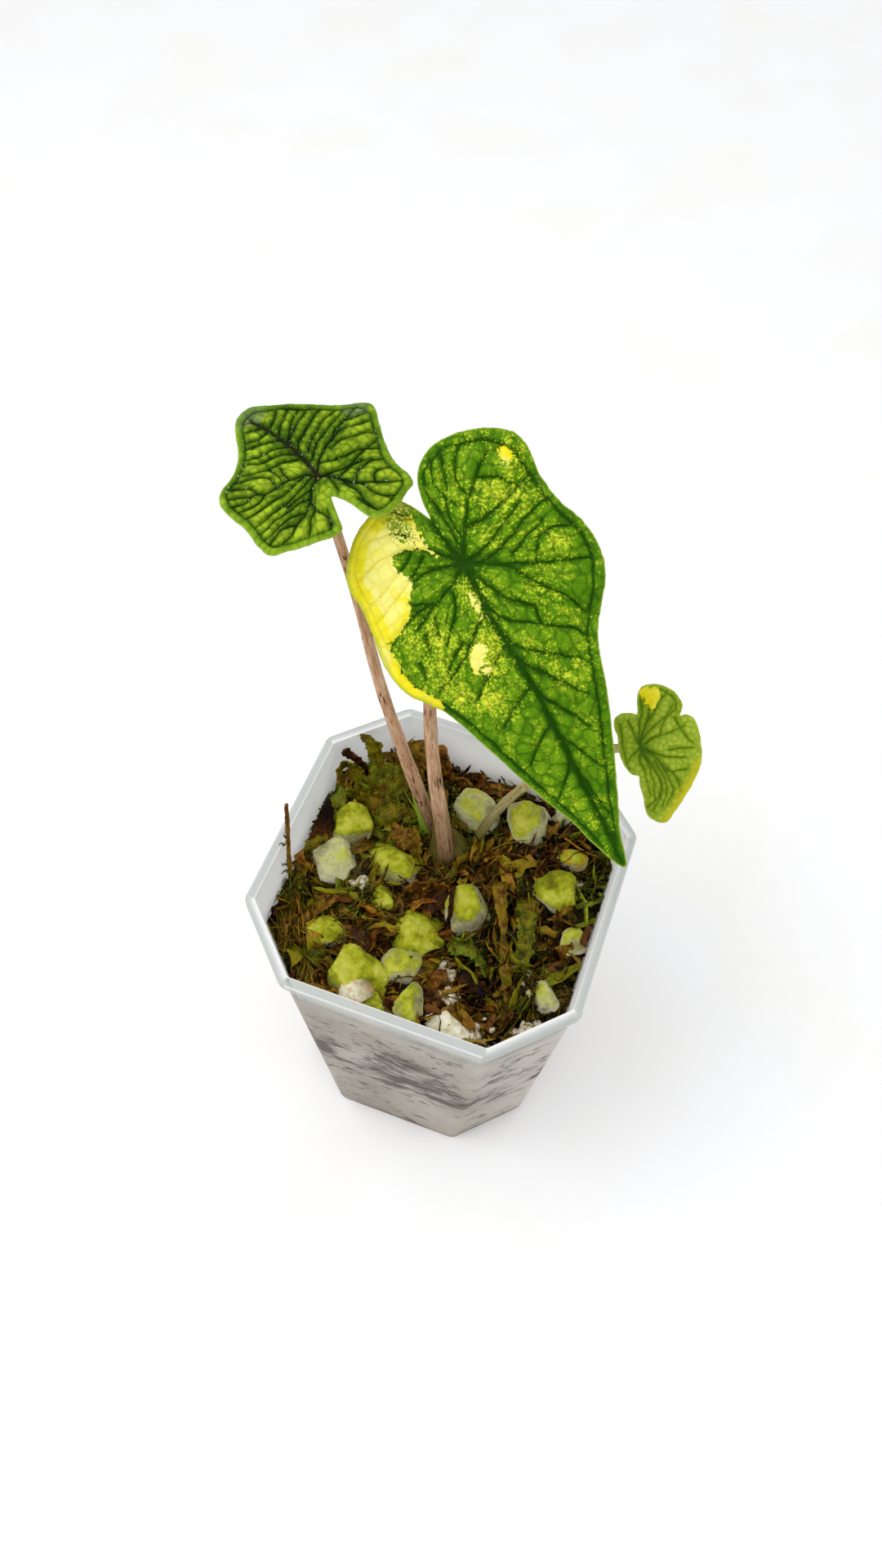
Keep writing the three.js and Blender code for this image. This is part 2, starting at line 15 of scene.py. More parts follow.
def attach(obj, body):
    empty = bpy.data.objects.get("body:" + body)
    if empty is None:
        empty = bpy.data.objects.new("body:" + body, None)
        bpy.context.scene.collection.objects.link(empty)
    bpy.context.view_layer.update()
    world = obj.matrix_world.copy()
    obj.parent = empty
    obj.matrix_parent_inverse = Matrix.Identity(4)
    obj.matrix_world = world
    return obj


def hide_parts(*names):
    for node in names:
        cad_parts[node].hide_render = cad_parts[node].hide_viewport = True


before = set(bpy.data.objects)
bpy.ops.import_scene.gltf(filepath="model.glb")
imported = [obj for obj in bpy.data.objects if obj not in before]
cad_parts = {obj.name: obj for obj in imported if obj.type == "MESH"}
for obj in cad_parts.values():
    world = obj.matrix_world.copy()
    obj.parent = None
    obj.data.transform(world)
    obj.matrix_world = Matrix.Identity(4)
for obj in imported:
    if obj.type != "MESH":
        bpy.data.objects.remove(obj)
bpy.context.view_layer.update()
MM = 0.001

# %% [markdown]
# ## Camera
# The photograph looks down on the plant from the front, at a little less than 60 degrees. The camera was
# worked out from the corners of the pot's lip and foot, and it is placed by two turns round a point in
# the plant, a distance and a small roll, as a tripod head would be set.

# %% Camera
AIM = Vector((-1.83, -0.58, 131.4)) * MM
CAMERA_AZIMUTH = math.radians(17.54)
CAMERA_ELEVATION = math.radians(57.21)
CAMERA_ROLL = math.radians(2.89)
CAMERA_DISTANCE = 225.7 * MM
LENS = 25.31
SENSOR = 36

camera = bpy.data.objects.new("camera", bpy.data.cameras.new("camera"))
bpy.context.scene.collection.objects.link(camera)
level = math.cos(CAMERA_ELEVATION)
towards_camera = Vector((
    level * math.sin(CAMERA_AZIMUTH),
    -level * math.cos(CAMERA_AZIMUTH),
    math.sin(CAMERA_ELEVATION),
))
camera.location = AIM + towards_camera * CAMERA_DISTANCE
camera.rotation_mode = "QUATERNION"
camera.rotation_quaternion = (
    (-towards_camera).to_track_quat("-Z", "Y") @ Quaternion((0, 0, 1), CAMERA_ROLL)
)
camera.data.lens = LENS
camera.data.sensor_width = SENSOR
camera.data.clip_start = 0.01
bpy.context.scene.camera = camera
print("The camera stands at", [round(v / MM, 1) for v in camera.location], "mm")

# %% [markdown]
# ## Small tools for meshes
# The pieces are sheets and rods of many small faces, so their corners are read and written as whole
# arrays, which is quick. An operator acts on everything selected, so each step starts by deselecting all.

# %% Reading and writing corners


def deselect_all():
    bpy.ops.object.select_all(action="DESELECT")


def make_active(piece):
    deselect_all()
    piece.select_set(True)
    bpy.context.view_layer.objects.active = piece


def corners(piece):
    places = np.empty(len(piece.data.vertices) * 3)
    piece.data.vertices.foreach_get("co", places)
    return places.reshape(-1, 3)


def move_corners(piece, places):
    piece.data.vertices.foreach_set("co", np.ascontiguousarray(places).ravel())
    piece.data.update()


def write_attribute(piece, name, values):
    """Keeps a number, or a vector, for each corner, for the material to read. One number does for all."""
    values = np.asarray(values, np.float32)
    if values.ndim == 0:
        values = np.full(len(piece.data.vertices), values)
    kind, key = ("FLOAT", "value") if values.ndim == 1 else ("FLOAT_VECTOR", "vector")
    attribute = piece.data.attributes.new(name, kind, "POINT")
    attribute.data.foreach_set(key, values.ravel())


# %% [markdown]
# A modifier changes only what is shown until it is applied, and the export needs real faces, so each one
# is applied as soon as it is set. A mesh bent out of a primitive can have corners that meet and faces
# that look inwards, and both are put right once the piece has its shape.

# %% Applying and tidying


def apply_modifier(piece, kind, **settings):
    make_active(piece)
    modifier = piece.modifiers.new(kind.lower(), kind)
    for name, value in settings.items():
        setattr(modifier, name, value)
    bpy.ops.object.modifier_apply(modifier=modifier.name)


def mesh_object(name, places, faces):
    mesh = bpy.data.meshes.new(name)
    mesh.from_pydata([tuple(p) for p in places], [], [tuple(f) for f in faces])
    piece = bpy.data.objects.new(name, mesh)
    bpy.context.scene.collection.objects.link(piece)
    return piece


def tidy_surface(piece, weld=0.002, smooth=True):
    """Merges corners that meet, turns every face outwards and smooths the shading."""
    make_active(piece)
    bpy.ops.object.mode_set(mode="EDIT")
    bpy.ops.mesh.select_all(action="SELECT")
    bpy.ops.mesh.remove_doubles(threshold=weld)
    bpy.ops.mesh.normals_make_consistent(inside=False)
    bpy.ops.object.mode_set(mode="OBJECT")
    if smooth:
        bpy.ops.object.shade_smooth()


# %% [markdown]
# Living things are never quite regular. The noise that Blender has for Python gives smooth bumps that are
# the same on every run, so it roughens all shapes here. A finished piece is handed over to the frame: it
# is turned to metres, rides on the CAD's body and stands for the CAD's node.

# %% Grain and handing over


def grain(places, size, seed=0.0):
    """Smooth random bumps between about -1 and 1, size mm apart, alike on every run."""
    shift = Vector((seed, 1.7 * seed, -2.3 * seed))
    return np.array([noise.noise(Vector(p) / size + shift) for p in places])


def hand_over(piece, node, material=None):
    """Turns a piece finished in millimetres to metres, hangs it on the root body and hides the CAD node."""
    piece.data.transform(Matrix.Scale(MM, 4))
    if material is not None:
        piece.data.materials.clear()
        piece.data.materials.append(material)
    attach(piece, "root")
    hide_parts(node)
    triangles = sum(len(face.vertices) - 2 for face in piece.data.polygons)
    print(piece.name, "has", triangles, "triangles")


print("Bumps at three places:", grain([(0, 0, 0), (1, 0, 0), (2, 0, 0)], 1.7).round(2))

# %% [markdown]
# Stalks, strands and leaf outlines all follow smooth curves through a few points, as the CAD's do. The
# curve between two points bends the less the closer they stand, which keeps it free of loops.

# %% Smooth paths
SPAN_STEPS = 14


def blend_points(p, q, start, end, at):
    return ((end - at) * p + (at - start) * q) / (end - start)


def smooth_span(a, b, c, d):
    """Points from b towards c on the centripetal curve through a, b, c and d."""
    gaps = [math.sqrt(max(np.linalg.norm(q - p), 1e-6)) for p, q in ((a, b), (b, c), (c, d))]
    knots = np.cumsum([0, *gaps])
    at = np.linspace(knots[1], knots[2], SPAN_STEPS, endpoint=False)[:, None]
    ab = blend_points(a, b, knots[0], knots[1], at)
    bc = blend_points(b, c, knots[1], knots[2], at)
    cd = blend_points(c, d, knots[2], knots[3], at)
    abc = blend_points(ab, bc, knots[0], knots[2], at)
    bcd = blend_points(bc, cd, knots[1], knots[3], at)
    return blend_points(abc, bcd, knots[1], knots[2], at)


def smooth_path(points, count, closed=False):
    """That many points, evenly spread along a smooth curve."""
    p = np.array(points, float)
    if closed:
        p = np.vstack([p[-1], p, p[0], p[1]])
    else:
        p = np.vstack([2 * p[0] - p[1], p, 2 * p[-1] - p[-2]])
    fine = np.vstack([smooth_span(*p[i:i + 4]) for i in range(len(p) - 3)] + [p[-2][None]])
    lengths = np.r_[0, np.cumsum(np.linalg.norm(np.diff(fine, axis=0), axis=1))]
    where = np.linspace(0, lengths[-1], count)
    return np.column_stack([np.interp(where, lengths, column) for column in fine.T])


def path_length(points):
    return np.linalg.norm(np.diff(np.array(points, float), axis=0), axis=1).sum()


bend = [[0, 0], [10, 0], [10, 10]]
print("A bend of two 10 mm sides is smoothed to", round(path_length(smooth_path(bend, 50)), 1), "mm")

# %% [markdown]
# ## Small tools for materials
# A material is a tree of nodes. One function adds a node, sets its settings, links its inputs and gives
# back its output, so each finish below reads as a list of layers. Colours are written as sRGB hex, as a
# painter picks them from a screen, and Blender works in linear light, so one function turns one into the
# other.

# %% Colours and nodes


def linear(hex_code):
    parts = [int(hex_code[i:i + 2], 16) / 255 for i in (1, 3, 5)]
    return tuple(v / 12.92 if v <= 0.04045 else ((v + 0.055) / 1.055) ** 2.4 for v in parts) + (1.0,)


def add(tree, kind, inputs=None, stops=None, out=0, **settings):
    """Adds a node and gives back the output out. An input is a value, a hex colour or another's output."""
    node = tree.nodes.new("ShaderNode" + kind)
    for name, value in settings.items():
        setattr(node, name, value)
    for name, value in (inputs or {}).items():
        if isinstance(value, bpy.types.NodeSocket):
            tree.links.new(value, node.inputs[name])
        else:
            node.inputs[name].default_value = linear(value) if isinstance(value, str) else value
    if stops:
        ramp = node.color_ramp.elements
        while len(ramp) < len(stops):
            ramp.new(1.0)
        for element, (position, colour) in zip(ramp, stops):
            element.position = position
            element.color = linear(colour)
    return node.outputs[out] if node.outputs else None


print("Linear mid grey:", linear("#808080")[0])

# %% [markdown]
# Every finish starts from an empty tree, takes a pattern's scale from a real size in millimetres, and is
# painted in coats: one colour lies over another wherever some measure is high enough.

# %% Starting a finish and laying coats


def new_finish(name):
    material = bpy.data.materials.new(name)
    material.use_nodes = True
    material.node_tree.nodes.clear()
    return material, material.node_tree


def per_mm(size):
    """The scale that gives a pattern with grains of that many millimetres."""
    return 1 / (size * MM)


def coat(tree, under, colour, measure, start, full, most=1.0):
    """Lays a colour over another: nothing where the measure is at start, most of it from full on."""
    share = add(tree, "MapRange", {"Value": measure, "From Min": start, "From Max": full, "To Max": most})
    return add(tree, "MixRGB", {"Fac": share, "Color1": under, "Color2": colour})


print("Scale of a pattern with 2 mm grains:", per_mm(2))

# %% [markdown]
# ## Light and floor
# The plant was photographed on a white surface under wide, even light, with hardly a shadow. A pale sky
# all round gives that light, and one large lamp above the plant, a little to the left and behind the
# camera, gives the stones and leaves their soft shading. Colours are shown as they are, without a film
# look, because the greens in the photograph are strong and its white is a clean white.

# %% Sky and lamp
SKY_COLOUR = "#FBFCFF"
SKY_STRENGTH = 0.84
LAMP_PLACE = Vector((-260, -120, 620)) * MM
LAMP_SIZE = 420 * MM
LAMP_POWER = 1.2

bpy.context.scene.view_settings.view_transform = "Standard"
world = bpy.data.worlds.new("studio")
world.use_nodes = True
sky = world.node_tree.nodes["Background"].inputs
sky["Color"].default_value = linear(SKY_COLOUR)
sky["Strength"].default_value = SKY_STRENGTH
bpy.context.scene.world = world

lamp = bpy.data.objects.new("softbox", bpy.data.lights.new("softbox", "AREA"))
lamp.data.shape = "DISK"
lamp.data.size = LAMP_SIZE
lamp.data.energy = LAMP_POWER
lamp.location = LAMP_PLACE
lamp.rotation_mode = "QUATERNION"
lamp.rotation_quaternion = (AIM - LAMP_PLACE).to_track_quat("-Z", "Y")
bpy.context.scene.collection.objects.link(lamp)
print("The lamp hangs", round((AIM - LAMP_PLACE).length / MM), "mm from the plant")

# %% [markdown]
# The floor is a board painted matt white. Paint scatters light evenly, so it has no visible gloss, only
# faint warm clouds. A little glow keeps it as white as the overexposed surface in the photograph.

# %% Floor of painted board
FLOOR_HALF = 1500
FLOOR_GLOW = 0.09
FLOOR_CLOUDS = 60

floor_finish, tree = new_finish("white_painted_board")
place = add(tree, "TexCoord", out="Object")
cloud = add(tree, "TexNoise", {"Vector": place, "Scale": per_mm(FLOOR_CLOUDS), "Detail": 3.0})
tone = add(tree, "ValToRGB", {"Fac": cloud}, stops=[(0.35, "#FDFCF8"), (0.6, "#FFFFFF")])
board = add(tree, "BsdfPrincipled", {
    "Base Color": tone, "Roughness": 0.6, "Emission Color": "#FFFFFF", "Emission Strength": FLOOR_GLOW,
})
add(tree, "OutputMaterial", {"Surface": board})

deselect_all()
bpy.ops.mesh.primitive_grid_add(x_subdivisions=20, y_subdivisions=20, size=2 * FLOOR_HALF * MM)
floor = bpy.context.object
floor.name = "floor"
floor.data.materials.append(floor_finish)
print("Floor squares:", len(floor.data.polygons))

# %% [markdown]
# ## Pot
# A square nursery pot with cut corners, injection moulded in clear polypropylene and frosted. It tapers
# towards its foot. It could be skinned from rings, but it is quicker to shape it as by hand: a box is
# widened at its top, its four upright edges are bevelled into cut corners and the eight new ones are
# rounded. The top face is spread and pulled up into the lip, two thin insets mark the lip's edges, and a
# face pushed down makes the inside. A Boolean modifier drills the drain holes. The sizes are the CAD's.

# %% Pot sizes
POT_HEIGHT = 96
LIP_ACROSS = 80
LIP_FLAT = 48
LIP_OVERHANG = 1.2
LIP_DEPTH = 2.2
LIP_EDGE = 0.4
FOOT_ACROSS = 65
FOOT_FLAT = 34
WALL = 1
POT_FLOOR = 1.4
CORNER_BEVEL = 1.3
FOOT_BEVEL = 0.9
DRAIN_RADIUS = 3
DRAIN_OFFSET = 18
WALL_TOP = POT_HEIGHT - LIP_DEPTH


def pot_section(z, inset):
    """Half the distance across flats, and half the long side, of the outside at height z."""
    t = z / POT_HEIGHT
    shift = math.tan(math.pi / 8)
    across = FOOT_ACROSS + (LIP_ACROSS - 2 * LIP_OVERHANG - FOOT_ACROSS) * t
    flat = FOOT_FLAT + (LIP_FLAT - 2 * LIP_OVERHANG * shift - FOOT_FLAT) * t
    return across / 2 - inset, flat / 2 - inset * shift


print("Half the pot's width at its foot and under its lip:", [pot_section(z, 0)[0] for z in (0, WALL_TOP)])

# %% [markdown]
# Faces and edges are picked in code by the places of their corners, then the operator acts on what is
# picked. Scaling turns about a given centre, because without a window the pivot setting is ignored.

# %% Picking faces and edges
UPRIGHT = 50


def pick(piece, kind, test):
    """Selects, in edit mode, the faces or edges whose corners all pass the test."""
    if piece.mode == "EDIT":
        bpy.ops.object.mode_set(mode="OBJECT")
    make_active(piece)
    bpy.ops.object.mode_set(mode="EDIT")
    bpy.ops.mesh.select_mode(type=kind)
    bpy.ops.mesh.select_all(action="DESELECT")
    bpy.ops.object.mode_set(mode="OBJECT")
    mesh = piece.data
    for part in (mesh.polygons if kind == "FACE" else mesh.edges):
        part.select = test([mesh.vertices[i].co for i in part.vertices])
    bpy.ops.object.mode_set(mode="EDIT")


def level_at(z, within=0.05):
    return lambda ends: all(abs(end.z - z) < within for end in ends)


def upright(ends):
    return abs(ends[0].z - ends[1].z) > UPRIGHT


def spread(factor, z):
    bpy.ops.transform.resize(value=(factor, factor, 1), center_override=(0, 0, z))

# %% [markdown]
# The body begins as a box as wide as the foot. Its top is spread to the width under the lip, the upright
# edges are bevelled twice, once for the cut corners and once to round them as a mould's are, and the foot
# gets a small round.

# %% Pot body
deselect_all()
bpy.ops.mesh.primitive_cube_add(
    size=1, location=(0, 0, WALL_TOP / 2), scale=(FOOT_ACROSS, FOOT_ACROSS, WALL_TOP),
)
pot = bpy.context.object
pot.name = "frosted_pot"
bpy.ops.object.transform_apply(location=True, rotation=True, scale=True)
half_top = pot_section(WALL_TOP, 0)[0]
pick(pot, "FACE", level_at(WALL_TOP))
spread(2 * half_top / FOOT_ACROSS, WALL_TOP)
for test, offset, segments in (
    (upright, (FOOT_ACROSS - FOOT_FLAT) / 2, 1), (upright, CORNER_BEVEL, 4), (level_at(0), FOOT_BEVEL, 3),
):
    pick(pot, "EDGE", test)
    bpy.ops.mesh.bevel(offset=offset, segments=segments, clamp_overlap=False)
bpy.ops.object.mode_set(mode="OBJECT")
print("Outer wall faces:", len(pot.data.polygons))

# %% [markdown]
# The lip is as wide as the wall and its overhang together. The inside tapers like the outside, and its
# floor is thicker than the wall. The cut corners narrow faster towards the foot than the flat sides do,
# so the floor's corners are set by both widths: one scale for all of them would push them out through the
# wall.

# %% Lip and inside
pick(pot, "FACE", level_at(WALL_TOP))
bpy.ops.mesh.extrude_region_move(TRANSFORM_OT_translate={"value": (0, 0, 0)})
spread((half_top + LIP_OVERHANG) / half_top, WALL_TOP)
bpy.ops.mesh.extrude_region_move(TRANSFORM_OT_translate={"value": (0, 0, LIP_DEPTH)})
for width in (LIP_EDGE, WALL + LIP_OVERHANG - 2 * LIP_EDGE, LIP_EDGE):
    bpy.ops.mesh.inset(thickness=width, depth=0)
bpy.ops.mesh.extrude_region_move(TRANSFORM_OT_translate={"value": (0, 0, POT_FLOOR - POT_HEIGHT)})
bpy.ops.object.mode_set(mode="OBJECT")
places = corners(pot)
on_floor = np.abs(places[:, 2] - POT_FLOOR) < 0.01
ring = np.abs(places[on_floor, :2])
across, flat = pot_section(POT_FLOOR, WALL)
narrowing = (flat - across) / (ring.sum(axis=1).max() - 2 * ring.max())
places[on_floor, :2] = np.sign(places[on_floor, :2]) * (across - narrowing * (ring.max() - ring))
move_corners(pot, places)
print("Pot height, and the inside across at its floor:", corners(pot)[:, 2].max(), 2 * across)

# %% [markdown]
# Four round holes in the floor let water out. Each is cut by a cylinder as a drill would cut it, and the
# drill is thrown away.

# %% Drain holes
for x in (-DRAIN_OFFSET, DRAIN_OFFSET):
    for y in (-DRAIN_OFFSET, DRAIN_OFFSET):
        deselect_all()
        bpy.ops.mesh.primitive_cylinder_add(
            vertices=32, radius=DRAIN_RADIUS, depth=4 * POT_FLOOR, location=(x, y, 0),
        )
        drill = bpy.context.object
        apply_modifier(pot, "BOOLEAN", object=drill, operation="DIFFERENCE", solver="EXACT")
        bpy.data.objects.remove(drill)
print("Faces of the drilled pot:", len(pot.data.polygons))

# %% [markdown]
# A frosted edge is the part of a clear moulding that gathers light, so the lip's two edges show as thin
# bright lines; these are painted highlights, drawn white in the colour. Which corners lie on an edge of
# the lip goes with the pot as an attribute. A face of the inside runs from the lip down to the floor, so
# there the value fades slowly and keeps the inside milky.

# %% Lip edges and their painted highlights
HALF_LINE = LIP_EDGE / 2

places = corners(pot)
x, y, z = np.abs(places).T
across, flat = pot_section(z, 0)
depth = np.minimum(np.minimum(across - x, across - y), (across + flat - x - y) / math.sqrt(2))
on_highlight_edge = (depth < HALF_LINE - LIP_OVERHANG) | (depth > WALL - HALF_LINE)
on_highlight_edge &= z > POT_HEIGHT - HALF_LINE
write_attribute(pot, "lip_edge_highlight", on_highlight_edge.astype(float))
tidy_surface(pot, smooth=False)
bpy.ops.object.shade_smooth_by_angle(angle=math.radians(30))
print("Corners on the lip's edges:", int(on_highlight_edge.sum()))

# %% [markdown]
# ### Frosted polypropylene
# The pot is polypropylene, injection moulded in a blasted mould. The plastic alone would be clear, and
# the blasted skin scatters light, so the moss behind shows only as brown smudges where it presses on the
# wall. They are drawn in the colour: a belt says how much soil lies at each height, a list says where the
# large smears are, and noise stretched sideways breaks them up, as sinking water leaves them. Short crisp
# dashes lie in the soft smears.

# %% Mud behind the wall
MUD_SMEARS = [
    ((0, -34, 52), 13, 5), ((14, -35, 44), 7, 4), ((-24, -34, 56), 8, 12), ((-24, -33, 22), 7, 8),
    ((35, 10, 52), 10, 5), ((34, -16, 46), 9, 5), ((-34, 12, 44), 12, 7), ((8, 34, 50), 13, 6),
]
WAVE_HEIGHT = 9


def mud(tree, place, share):
    """How strongly soil shows at each place, how crisply, and the soft noise that breaks it up."""
    wavy = add(tree, "TexNoise", {"Vector": place, "Scale": per_mm(14), "Detail": 2.0}, out="Color")
    drift = add(tree, "VectorMath", {
        0: wavy, 1: (0, 0, WAVE_HEIGHT * MM), 2: place,
    }, operation="MULTIPLY_ADD")
    smear, dash = [
        add(tree, "TexNoise", {
            "Vector": add(tree, "Mapping", {"Vector": drift, "Scale": (1.0, 1.0, flatter)}),
            "Scale": per_mm(size), "Detail": detail,
        }) for flatter, size, detail in ((2.0, 10, 3.0), (4.5, 3.4, 2.0))
    ]
    belt = add(tree, "ValToRGB", {"Fac": share}, stops=[
        (0.0, "#B0B0B0"), (0.06, "#606060"), (0.3, "#8A8A8A"), (0.5, "#D0D0D0"),
        (0.66, "#BCBCBC"), (0.8, "#7C7C7C"), (0.86, "#000000"),
    ])
    for centre, length, tall in MUD_SMEARS:
        apart = add(tree, "VectorMath", {0: drift, 1: Vector(centre) * MM}, operation="SUBTRACT")
        apart = add(tree, "VectorMath", {
            0: apart, 1: [1 / (side * MM) for side in (length, length, tall)],
        }, operation="MULTIPLY")
        apart = add(tree, "VectorMath", {0: apart}, operation="LENGTH", out="Value")
        near = add(tree, "MapRange", {"Value": apart, "From Min": 1.25, "From Max": 0.35, "To Max": 0.62})
        belt = add(tree, "Math", {0: belt, 1: near}, operation="ADD")
    soak = add(tree, "Math", {0: belt, 1: 0.34, 2: smear}, operation="MULTIPLY_ADD")
    soft = add(tree, "MapRange", {"Value": soak, "From Min": 0.72, "From Max": 0.9, "To Max": 0.92})
    both = add(tree, "Math", {0: soak, 1: 0.75, 2: dash}, operation="MULTIPLY_ADD")
    crisp = add(tree, "MapRange", {"Value": both, "From Min": 1.06, "From Max": 1.1, "To Max": 0.92})
    soiled = add(tree, "Math", {0: soft, 1: crisp}, operation="MAXIMUM")
    below_lip = add(tree, "MapRange", {"Value": share, "From Min": 0.87, "From Max": 0.84})
    return add(tree, "Math", {0: soiled, 1: below_lip}, operation="MULTIPLY"), crisp, smear


print("Large smears of mud:", len(MUD_SMEARS))

# %% [markdown]
# The colour is laid in coats from the inside out: damp moss behind the wall as warm grey clouds, painted
# lighter on the right side as painted light, a dirty line round the foot, the clear part over the moss, the
# lip, its edges painted white as highlights, then the mud and a few black specks.

# %% Colours of the pot
MOSS_LINE = 83
FOOT_DIRT = 6
LIT_SIDE = (0.3 * FOOT_ACROSS, 0.48 * FOOT_ACROSS)


def pot_colours(tree, place, height, edge):
    """The colour, how far a place is above the moss, how far in the lip, and how soiled it is."""
    share = add(tree, "MapRange", {"Value": height, "From Min": 0.0, "From Max": POT_HEIGHT * MM})
    soiled, crisp, smear = mud(tree, place, share)
    cloud = add(tree, "TexNoise", {"Vector": place, "Scale": per_mm(26), "Detail": 3.0})
    colour = add(tree, "ValToRGB", {"Fac": cloud}, stops=[(0.34, "#C0B6A6"), (0.66, "#E4DDD0")])
    # Painted light: the right side of the wall is drawn paler, as if lit there.
    to_right = add(tree, "SeparateXYZ", {"Vector": place}, out="X")
    colour = coat(tree, colour, "#FAF4EA", to_right, LIT_SIDE[0] * MM, LIT_SIDE[1] * MM, 0.75)
    low = add(tree, "MapRange", {"Value": height, "From Min": FOOT_DIRT * MM, "From Max": 0, "To Max": 0.5})
    low = add(tree, "Math", {0: low, 1: smear}, operation="ADD")
    colour = coat(tree, colour, "#8A6A42", low, 0.64, 0.9, 0.85)
    dry, lip = [
        add(tree, "MapRange", {"Value": height, "From Min": start * MM, "From Max": full * MM})
        for start, full in ((MOSS_LINE - 3, MOSS_LINE + 3), (WALL_TOP - 1, WALL_TOP))
    ]
    brown = add(tree, "MixRGB", {"Fac": crisp, "Color1": "#5E3E26", "Color2": "#422812"})
    # Over the clear part and the lip, the lip's edges get white as a painted highlight, then the mud.
    for where, over in ((dry, "#F8F7EC"), (lip, "#D0D3CF"), (edge, "#FFFFFF"), (soiled, brown)):
        colour = add(tree, "MixRGB", {"Fac": where, "Color1": colour, "Color2": over})
    speck = add(tree, "TexVoronoi", {"Vector": place, "Scale": per_mm(14)})
    return coat(tree, colour, "#3A2C20", speck, 0.035, 0.02), dry, lip, soiled


# %% [markdown]
# Three shaders stand for the scattering, which is far quicker than real scattering in the wall: a satin
# plastic reflects, a Translucent shader passes on light from behind, and a Transparent one gives a hazy
# view through the clean part. Mud, the lip and its edges let no picture through. The blasted grain is
# some hundredths of a millimetre and can't show, so only the slow ripple of the moulding is drawn.

# %% Frosted polypropylene
GLOW_SHARE = 0.36
CLEAR_SHARE = 0.76
DAMP_CLEAR_SHARE = 0.18
RIPPLE = 3


def frosted_polypropylene():
    material, tree = new_finish("frosted_polypropylene")
    place = add(tree, "TexCoord", out="Object")
    height = add(tree, "SeparateXYZ", {"Vector": place}, out="Z")
    edge = add(tree, "Attribute", attribute_name="lip_edge_highlight", out="Fac")
    colour, dry, lip, soiled = pot_colours(tree, place, height, edge)
    ripple = add(tree, "TexNoise", {"Vector": place, "Scale": per_mm(RIPPLE), "Detail": 2.0})
    relief = add(tree, "Bump", {"Height": ripple, "Strength": 0.12, "Distance": 0.3 * MM})
    satin = add(tree, "BsdfPrincipled", {
        "Base Color": colour, "Roughness": 0.38, "IOR": 1.49, "Normal": relief, "Specular IOR Level": 0.3,
    })
    glow = add(tree, "BsdfTranslucent", {"Color": colour, "Normal": relief})
    clear = add(tree, "BsdfTransparent", {"Color": "#F7F8F8"})
    cloudy = add(tree, "MixShader", {"Fac": GLOW_SHARE, 1: satin, 2: glow})
    milky = add(tree, "Math", {0: lip, 1: 0.5, 2: soiled}, operation="MULTIPLY_ADD")
    milky = add(tree, "Math", {0: milky, 1: edge}, operation="MAXIMUM")
    window = add(tree, "MapRange", {"Value": dry, "To Min": DAMP_CLEAR_SHARE, "To Max": CLEAR_SHARE})
    see_through = add(tree, "MapRange", {"Value": milky, "To Min": window, "To Max": 0.0})
    frosted = add(tree, "MixShader", {"Fac": see_through, 1: cloudy, 2: clear})
    add(tree, "OutputMaterial", {"Surface": frosted})
    return material


hand_over(pot, "pot", material=frosted_polypropylene())

# %% [markdown]
# ## Leaf blades
# An alocasia blade is a thin leathery sheet. Its veins lie sunk in the upper face and stand out below,
# and the skin between them swells up like a quilt. A sheet of small squares is cut to the outline, pushed
# up and down by formulas of the distance to the veins, and given its thickness by a Solidify modifier.
# The outline and the broad bend of each blade are the CAD's. Each place on a blade is [along, across] in
# millimetres from the point where the stalk joins, so a vein is a short list of such places.

# %% Inside and distance


def inside(places, ring):
    """True for each place within the closed ring."""
    x, y = places[:, 0], places[:, 1]
    within = np.zeros(len(places), bool)
    for (x1, y1), (x2, y2) in zip(ring, np.roll(ring, -1, axis=0)):
        if y1 != y2:
            crosses = (y1 > y) != (y2 > y)
            within ^= crosses & (x < (x2 - x1) * (y - y1) / (y2 - y1) + x1)
    return within


def distance_to_path(places, path):
    """How far each place is from the path, and how far along the path its nearest point lies, 0 to 1."""
    nearest = np.full(len(places), np.inf)
    share = np.zeros(len(places))
    last = len(path) - 1
    for i in range(last):
        step = path[i + 1] - path[i]
        reach = places - path[i]
        t = np.clip(reach @ step / max(step @ step, 1e-9), 0, 1)
        gap = np.linalg.norm(reach - t[:, None] * step, axis=1)
        closer = gap < nearest
        nearest[closer] = gap[closer]
        share[closer] = (i + t[closer]) / last
    return nearest, share

corner_square = np.array([[0, 0], [4, 0], [4, 4], [0, 4]], float)
print("Is (1, 2) in a 4 mm square:", inside(np.array([[1.0, 2.0]]), corner_square)[0])

# %% [markdown]
# The sheet of squares is cut in one go: the corners outside the outline are deleted, and those of the new
# border are drawn onto the outline, so that it is as smooth as the outline is and not stepped. A grown
# edge is never a clean curve, so the outline wavers by a tenth of a millimetre first.

# %% Cutting a sheet
EDGE_STEP = 0.16
EDGE_WAVER = 0.12


def blade_edge(outline):
    """The outline as a fine ring that wavers a little, as a grown edge does."""
    rough = np.array(outline, float)
    around = np.linalg.norm(np.diff(rough, axis=0, append=rough[:1]), axis=1).sum()
    ring = smooth_path(outline, int(around / EDGE_STEP), closed=True)[:-1]
    flat_ring = np.column_stack([ring, np.zeros(len(ring))])
    waver = grain(flat_ring, 1.3) + 0.5 * grain(flat_ring, 0.5)
    return ring * (1 + EDGE_WAVER * waver / np.linalg.norm(ring, axis=1))[:, None]


